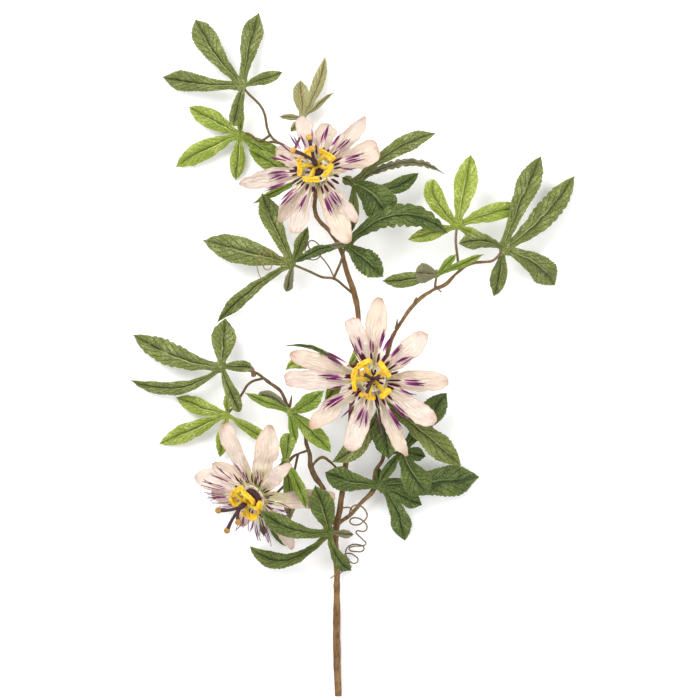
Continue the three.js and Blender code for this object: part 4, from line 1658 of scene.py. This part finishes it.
    def _tufts(self) -> list[bpy.types.Object]:
        """Makes the long threads, in tufts of one to four, pale at first and purple to the tip.

        Returns:
            The threads.
        """
        parts = []
        for x, y, count, lift in self.tufts:
            tip = self.over(x, y, lift)
            reach = tip - self.middle
            out = (reach - self.way * reach.dot(self.way)).normalized()
            side = self.way.cross(out)
            for i in range(count):
                spread = i - (count - 1) * 0.5
                slip = self.dice.uniform(-0.5, 0.5)
                end = tip + side * (spread + slip) - out * self.dice.uniform(-0.6, 4.5)
                start = self.middle + out * (self.collar_radius + 2.0) + side * spread * 0.35
                start = start + self.way * (self.collar_height + 0.2)
                stray = self.dice.uniform(-self.stray, self.stray)
                bow = self.way * self.dice.uniform(0.2, 1.6) + side * stray
                girth = self.thread_girth * self.dice.uniform(0.42, 0.8)
                parts.append(self._thread(start, end, bow, girth, TUFT))
        return parts

    def _dashes(self) -> list[bpy.types.Object]:
        """Makes the short dark threads round the collar, and the shorter ones inside it.

        Returns:
            The threads.
        """
        parts = []
        for inner, outer, count, girth, height in (
            (self.collar_radius + 2.8, 18.2, self.dashes, 0.95, self.collar_height + 1.3),
            (5.0, 7.6, 11, 0.8, self.collar_height + 1.5),
        ):
            for i in range(count):
                angle = 360.0 * i / count + self.dice.uniform(-7.0, 7.0)
                start = self.at(inner + self.dice.uniform(-0.8, 0.8), angle, height)
                reach = self.dice.uniform(-1.6, 2.2) * (count / 20.0)
                end = self.at(outer + reach, angle + 1.5, height - 0.4)
                width = girth * self.thread_girth * self.dice.uniform(0.7, 1.2)
                parts.append(self._thread(start, end, self.way * 0.5, width, DASH))
        return parts

    def _pale_threads(self) -> list[bpy.types.Object]:
        """Makes the fine pale threads that lie between the tufts.

        Returns:
            The threads.
        """
        parts = []
        for i in range(PALE_THREAD_COUNT):
            angle = 360.0 * i / PALE_THREAD_COUNT + self.dice.uniform(-6.0, 6.0)
            height = self.collar_height + self.dice.uniform(-0.6, 0.4)
            bow = self.way * self.dice.uniform(0.2, 1.0)
            start = self.at(self.collar_radius - 1.0, angle, self.collar_height)
            end = self.at(self.dice.uniform(17.0, 27.0), angle + self.dice.uniform(-4.0, 4.0), height)
            parts.append(self._thread(start, end, bow, PALE_THREAD_GIRTH, PALE_THREAD))
        return parts


def blooms() -> list[Bloom]:
    """Lists the three blooms of the spray.

    Returns:
        The upper, middle and lower bloom.
    """
    ruffled, squared, pointed = Cut.RUFFLED, Cut.SQUARED, Cut.POINTED
    upper = Bloom(
        "upper_flower", (-24, 126, 50), (-0.127, 0.403, 0.906),
        [
            (-37.4, 134.8, -36.8, 123.5), (-34.6, 120.7, -22.8, 120.7), (-18.5, 122.8, -13.6, 131.9),
            (-22, 141.8, -12.9, 134.8), (-35.3, 137.5, -26.9, 142.4),
        ],
        [(-30, 150, 73), (-41, 141, 70), (-28, 142, 76)],
        [
            (-43.4, 153.6, 3, 3), (-37.1, 154.3, 2, 3), (-28.3, 157.8, 1, 3), (-18.9, 157.8, 1, 3),
            (-16.4, 159.6, 2, 3), (-5.9, 155.8, 3, 3), (-1.8, 150.1, 3, 3), (8.8, 139.6, 3, 3),
            (8, 136.1, 2, 3), (4.1, 128.9, 2, 3), (-8.4, 102.8, 4, 3), (-13.6, 96.9, 4, 3),
            (-38.1, 98.8, 3, 3), (-50.8, 100.8, 2, 3), (-49.3, 106, 2, 3), (-61.9, 113.4, 2, 3),
            (-59.1, 124.9, 3, 3), (-58.4, 120.7, 2, 3), (-58.7, 136.8, 2, 3), (-53.3, 139.8, 2, 3),
            (-50.8, 147.1, 1, 3),
        ],
        [
            Petal("sepal_1", (18, 144, 42), 17, 1.5, 0, squared),
            Petal("petal_1", (10, 166, 33), 11, 2, 0, pointed),
            Petal("sepal_2", (-16, 161, 20), 14, 4),
            Petal("petal_2", (-37, 166, 22), 11, 3),
            Petal("sepal_3", (-54, 142, 20), 13, 5),
            Petal("petal_3", (-78, 118, 41), 13, 2, 0, pointed),
            Petal("sepal_4", (-50, 91, 46), 10, 4, 0, pointed),
            Petal("petal_4", (-40, 84, 58), 12, 3, 0, squared),
            Petal("sepal_5", (-3, 78, 63), 15, 2.5),
            Petal("petal_5", (3, 92, 62), 10, 2, 0, ruffled),
        ],
    )
    middle = Bloom(
        "middle_flower", (14, -17, 50), (0, 0, 1),
        [
            (1, -9.4, 1, -24.8), (2.4, -8.8, 12.2, -3.1), (19.2, -4.5, 25.5, -15),
            (25.5, -23.4, 19.9, -29.7), (4.5, -27.6, 16.4, -31.8),
        ],
        [(7, -13, 72), (20, -14, 72), (9, -28, 72)],
        [
            (-0.3, 10.1, 2, 2), (3.1, 13.6, 2, 2), (13.3, 12.2, 2, 2), (22.8, 17.1, 3, 2),
            (28.3, 15, 2, 2), (35.3, 8, 2, 2), (41.6, -0.3, 3, 2), (50.8, -20.6, 4, 2),
            (45.8, -29, 2, 2), (38.8, -44.4, 3, 2), (33.9, -52.1, 4, 2), (20.6, -58.4, 1, 2),
            (1, -50, 2, 2), (4.5, -51.4, 1, 2), (9.4, -51.4, 1, 2), (-10.8, -47.2, 1, 2),
            (-20.6, -38.8, 2, 2), (-20.6, -35.3, 2, 2), (-24.1, -15, 3, 2), (-18.5, -17.1, 1, 2),
            (-19.9, -24.8, 1, 2), (-19.9, 1, 4, 2),
        ],
        [
            Petal("sepal_1", (67, -19, 46), 14.5, 1),
            Petal("petal_1", (51, 16, 49), 14.5, 0.5, 0, ruffled),
            Petal("sepal_2", (19, 40, 46), 13.5, 1),
            Petal("petal_2", (-2, 25, 49), 12.5, 0.5, 0, squared),
            Petal("sepal_3", (-43, 0, 44), 11.5, 1),
            Petal("petal_3", (-47, -18, 46), 13, 1, 0, squared),
            Petal("sepal_4", (-29, -51, 45), 13.5, 1, 0, ruffled),
            Petal("petal_4", (-2, -67, 48), 14.5, 0.5),
            Petal("sepal_5", (38, -70, 45), 10, 1, 35, ruffled),
            Petal("petal_5", (58, -48, 48), 14.5, 0.5, 0, ruffled),
        ],
        crown_radius=3.4,
    )
    lower = Bloom(
        "lower_flower", (-66, -97, 45), (-0.61, -0.46, 0.64),
        [
            (-84.3, -97.6, -76.2, -91.3), (-77, -92.2, -68.4, -102.9), (-84.3, -99.8, -78.8, -107.4),
            (-75.9, -110.2, -65.5, -113), (-63.3, -101.8, -64, -110.2),
        ],
        [(-93, -108, 60), (-79, -116, 64), (-87, -122, 58)],
        [
            (-94.1, -77.3, 3, 12), (-99.8, -82.2, 2, 13), (-104.6, -87.1, 3, 14), (-105.3, -90.9, 1, 14),
            (-104.5, -95.8, 2, 14), (-102.8, -99.6, 2, 14), (-99.6, -103.1, 2, 13),
            (-95.6, -106.9, 2, 13),
            (-81.5, -75.9, 2, 8), (-76.6, -78.8, 2, 6), (-66.1, -79.4, 2, 4), (-62.6, -80.8, 2, 3),
            (-81.5, -123.5, 2, 9), (-75.9, -121.4, 2, 8), (-72.1, -125.6, 3, 7), (-64.8, -130.5, 4, 6),
            (-57, -134, 3, 5), (-50.8, -112.3, 3, 4), (-41.6, -110.9, 3, 4), (-40.9, -107.4, 2, 3),
        ],
        [
            Petal("petal_1", (-90, -49, 47), 14, 1.5, 0, squared),
            Petal("sepal_1", (-57, -48, 62), 18, 3, 0, pointed),
            Petal("petal_2", (-43, -76, 68), 11, 2, 30, pointed),
            Petal("sepal_2", (-12, -99, 32), 13, 4, 0, Cut.PETAL, 3.0),
            Petal("petal_3", (-41, -135, 33), 12, 0.5),
            Petal("sepal_3", (-54, -121, 18), 10, 3),
            Petal("petal_4", (-77, -120, 14), 10, 0.5),
            Petal("sepal_4", (-99, -97, 11), 14, 0.5, 0, Cut.PETAL, 1.2),
            Petal("petal_5", (-111, -85, 17), 18, 0, 0, pointed),
            Petal("sepal_5", (-98, -76, 17), 12, 0.5),
        ],
        crown_radius=7.6,
        stray=2.8,
        thread_girth=0.62,
        dashes=36,
        anther_girth=2.6,
        stigma_finish=RIPE_STIGMA,
    )
    return [upper, middle, lower]


# ------------------------------------------------------------------------------------------------ stems


@dataclass
class Stem:
    """A woody piece: a tube with swollen joints, a rough wrap and short stubs."""

    node: str
    points: list[Place]
    root_radius: float
    end_radius: float
    finish: SpeckledFinish
    joints: tuple[int, ...] = ()
    swelling: float = 1.3
    roughening: float = 0.9
    stubs: list[Wire] = field(default_factory=list)

    def build(self) -> None:
        """Bends the stem, swells its joints and roughens its surface."""
        steps = len(self.points) - 1
        radii = []
        for i in range(steps + 1):
            radius = self.root_radius + (self.end_radius - self.root_radius) * i / steps
            radii.append(radius * (self.swelling if i in self.joints else 1.0))
        rod = tube(self.node, self.points, radii, sides=14, lengths=110)
        clouds = bpy.data.textures.new(f"{self.node}_bark", "CLOUDS")
        clouds.noise_scale = 5.0 * MM
        rough = {"texture": clouds, "strength": self.roughening * MM, "mid_level": 0.5}
        Bench.modify(rod, "DISPLACE", {**rough, "texture_coords": "LOCAL"})
        Bench.rest(rod)
        PAINT.coat(rod, self.finish)
        parts = [rod, *[stub.bend() for stub in self.stubs]]
        keep(Bench.weld(parts, f"{self.node}_wrap"), self.finish.slot, self.node)


def stems() -> list[Stem]:
    """Lists the main stem and its branches.

    Returns:
        The stems.
    """
    return [
        Stem("main_stem", [
            (-10, -240, 2.6), (-11, -208, 4), (-11, -184, 6), (-11, -167, 8), (-11, -151, 9),
            (-12, -126, 12), (-9, -109, 14), (-7, -95, 15), (-5, -79, 16), (-2, -53, 18),
            (1, -12, 21), (4, 26, 24), (2, 40, 26), (-4, 58, 28), (-9, 75, 31), (-16, 86, 34),
            (-23, 93, 36), (-26, 99, 37), (-25.5, 112, 38.5), (-22.9, 122.4, 41.9),
        ], 2.4, 1.35, BARK, (1, 2, 5, 12), 1.18, stubs=[
            Wire(
                [(-8.5, -147, 10), (-10, -151, 12), (-13, -155, 12.5), (-15.5, -157, 12)], 0.6, 0.4,
                GOLD_WRAP, 16,
            ),
        ]),
        Stem("right_branch", [
            (-11, -119, 12), (0, -111, 12), (5, -105, 12), (15, -94, 13), (16, -82, 13.5),
            (21, -74, 14), (22, -53, 15), (23, -25, 19), (26, 7, 23), (33, 21, 26), (44, 36, 28),
            (56, 45, 29), (65, 49, 29), (72, 56, 28.5), (82, 63, 28), (96.5, 65, 27),
        ], 1.5, 1.0, GOLD_BARK, (3, 8, 10, 12), stubs=[
            Wire([(30.5, 18, 25.5), (31, 21.5, 26.5), (31.2, 25, 27)], 1.3, 0.3, GOLD_BARK, 8),
            Wire([(43, 35, 28.5), (44, 38.5, 29.5), (45, 40, 29.5)], 1.1, 0.4, GOLD_BARK, 8),
        ]),
        Stem("left_branch", [
            (-13, -119, 13), (-16, -105, 15), (-21, -93, 16), (-26, -86, 17), (-29, -79, 19),
            (-30, -70, 21), (-32, -63, 22), (-34, -50, 23), (-39, -43, 24), (-45, -37, 24.5),
            (-50, -26, 24), (-59, -19, 23), (-66, -13.5, 22),
        ], 1.75, 1.0, DARK_BARK, (3, 4, 9), stubs=[
            Wire([(-44, -36.5, 25), (-43, -32, 26), (-42.5, -28.5, 26.5)], 1.2, 0.3, DARK_BARK, 8),
        ]),
        Stem("lower_flower_stalk", [
            (-31, -67, 21), (-37, -69, 25), (-41, -71, 28), (-46, -76, 32), (-51, -80, 35),
            (-56, -88, 38), (-60.7, -93, 39.5),
        ], 1.0, 1.0, DARK_BARK, (3,)),
        Stem("middle_flower_stalk", [
            (-2, -50, 18), (4, -38, 23), (11, -24, 31), (14, -17, 41.5),
        ], 1.0, 1.0, OLIVE_BARK),
        Stem("side_twig", [
            (-28, -78, 19), (-25, -74, 19.5), (-21, -72, 19), (-17, -74, 18), (-10, -81, 16),
            (-6, -86, 15.5),
        ], 0.9, 0.9, OLIVE_BARK, (2,)),
    ]


@dataclass
class Tendril:
    """The tendril: it springs from the stem, winds down in loose loops and ends in a free tail."""

    node: str = "tendril"
    radius: float = 0.55
    foot: float = 14.0
    top: float = 20.0
    fall: float = 18.5
    turns: tuple[tuple[float, float], ...] = (
        (-8.4, -107.2), (-0.3, -108.9), (-1.8, -112.3), (0.4, -106.1), (5.3, -106), (8.8, -108.9),
        (10.2, -113.1), (8, -116.6), (3.1, -119.4), (-1.8, -117.3), (-1, -115.2), (3.1, -114.5),
        (7.4, -116.6), (10.2, -120.8), (8.8, -123.6), (2.4, -124.3), (3.1, -125.7), (7.4, -129.9),
        (9.4, -132.7), (6.7, -134.1), (-0.4, -134.8), (-2.5, -136.2), (3.2, -138.3), (7.4, -137.6),
        (8, -135.5), (3.9, -133.4), (-1.8, -134.1), (-4.6, -137.6), (-3.9, -142.5), (-1.8, -145.3),
        (2, -146.6), (3.9, -144.6), (1.1, -141), (-3.2, -139.7), (-6.7, -141.8), (-5.3, -146),
        (-1.1, -149.5), (-5.3, -151.2), (-9, -154),
    )

    def route(self) -> list[Place]:
        """Rises from the stem and sinks the turns evenly towards the floor.

        Returns:
            The tendril's points, in millimetres.
        """
        last = len(self.turns) - 1
        heights = [self.foot] + [self.top - self.fall * i / last for i in range(1, last + 1)]
        return [(x, y, height) for (x, y), height in zip(self.turns, heights)]

    def build(self) -> None:
        """Bends the tendril."""
        rod = tube("tendril_wire", self.route(), (self.radius, self.radius * 0.8), 8, 240)
        PAINT.coat(rod, TENDRIL_WRAP)
        keep(rod, TENDRIL_WRAP.slot, self.node)


# ----------------------------------------------------------------------------------------------- studio


@dataclass
class Studio:
    """The plain floor, the soft lights and the camera that looks straight down."""

    look_at: Place = (-1.75, 3.15, 18.0)
    frame_width: float = 490.0
    lens: float = 300.0
    sensor: float = 36.0
    floor_size: float = 30.0
    floor_height: float = -0.0004
    floor_glow: float = 0.12
    sky_strength: float = 0.82
    lights: tuple[tuple[str, Place, float, float], ...] = (
        ("key", (-1.1, 1.3, 2.2), 1.5, 62.0),
        ("fill", (1.6, -0.6, 2.0), 1.8, 26.0),
    )

    def build(self) -> None:
        """Sets up everything round the spray."""
        self._floor()
        self._lights()
        self._camera()

    def _floor(self) -> None:
        """A wide pale floor just under the spray."""
        Bench.clear()
        bpy.ops.mesh.primitive_plane_add(size=self.floor_size, location=(0.0, 0.0, self.floor_height))
        floor = bpy.context.object
        floor.name = "floor"
        Bench.settle(floor)
        recipe = Recipe("floor_white")
        tone = recipe.mix(recipe.noise(2.0).ease(0.3, 0.7), rgb(250, 250, 250), rgb(247, 247, 247))
        glow = {"Emission Color": (1.0, 1.0, 1.0, 1.0), "Emission Strength": self.floor_glow}
        floor.data.materials.append(recipe.finish(tone, 0.9, fixed=glow))

    def _lights(self) -> None:
        """A large soft key from the upper left, a fill from the right and an even sky."""
        for name, place, size, power in self.lights:
            data = bpy.data.lights.new(name, "AREA")
            data.size = size
            data.energy = power
            light = bpy.data.objects.new(name, data)
            light.location = place
            light.rotation_euler = (-Vector(place)).to_track_quat("-Z", "Y").to_euler()
            bpy.context.scene.collection.objects.link(light)
        world = bpy.data.worlds.new("sky")
        world.use_nodes = True
        sky = world.node_tree.nodes["Background"]
        sky.inputs["Color"].default_value = (1.0, 1.0, 1.0, 1.0)
        sky.inputs["Strength"].default_value = self.sky_strength
        bpy.context.scene.world = world

    def _camera(self) -> None:
        """The camera, far off and straight above."""
        data = bpy.data.cameras.new("camera")
        data.lens = self.lens
        data.sensor_width = self.sensor
        data.clip_end = 100.0
        camera = bpy.data.objects.new("camera", data)
        distance = self.lens / self.sensor * self.frame_width
        camera.location = (Vector(self.look_at) + UP * distance) * MM
        bpy.context.scene.collection.objects.link(camera)
        bpy.context.scene.camera = camera
        bpy.context.scene.view_settings.view_transform = "Standard"


# ------------------------------------------------------------------------------------------------- main


def remove_patterns() -> None:
    """Throws away the masters that the pieces were cut from."""
    masters = [cut.value.master for cut in Cut]
    for master in [*masters, *Rod.masters.values()]:
        if master is not None:
            data = master.data
            bpy.data.objects.remove(master)
            bpy.data.meshes.remove(data)


def main() -> None:
    """Builds the spray and the studio in order."""
    logging.basicConfig(level=logging.INFO, format="%(name)s: %(message)s")
    Bench.clear()
    for stem in stems():
        stem.build()
    Tendril().build()
    for leaf in leaves():
        leaf.build()
    for bloom in blooms():
        bloom.build()
    remove_patterns()
    Studio().build()


if __name__ == "__main__":
    main()
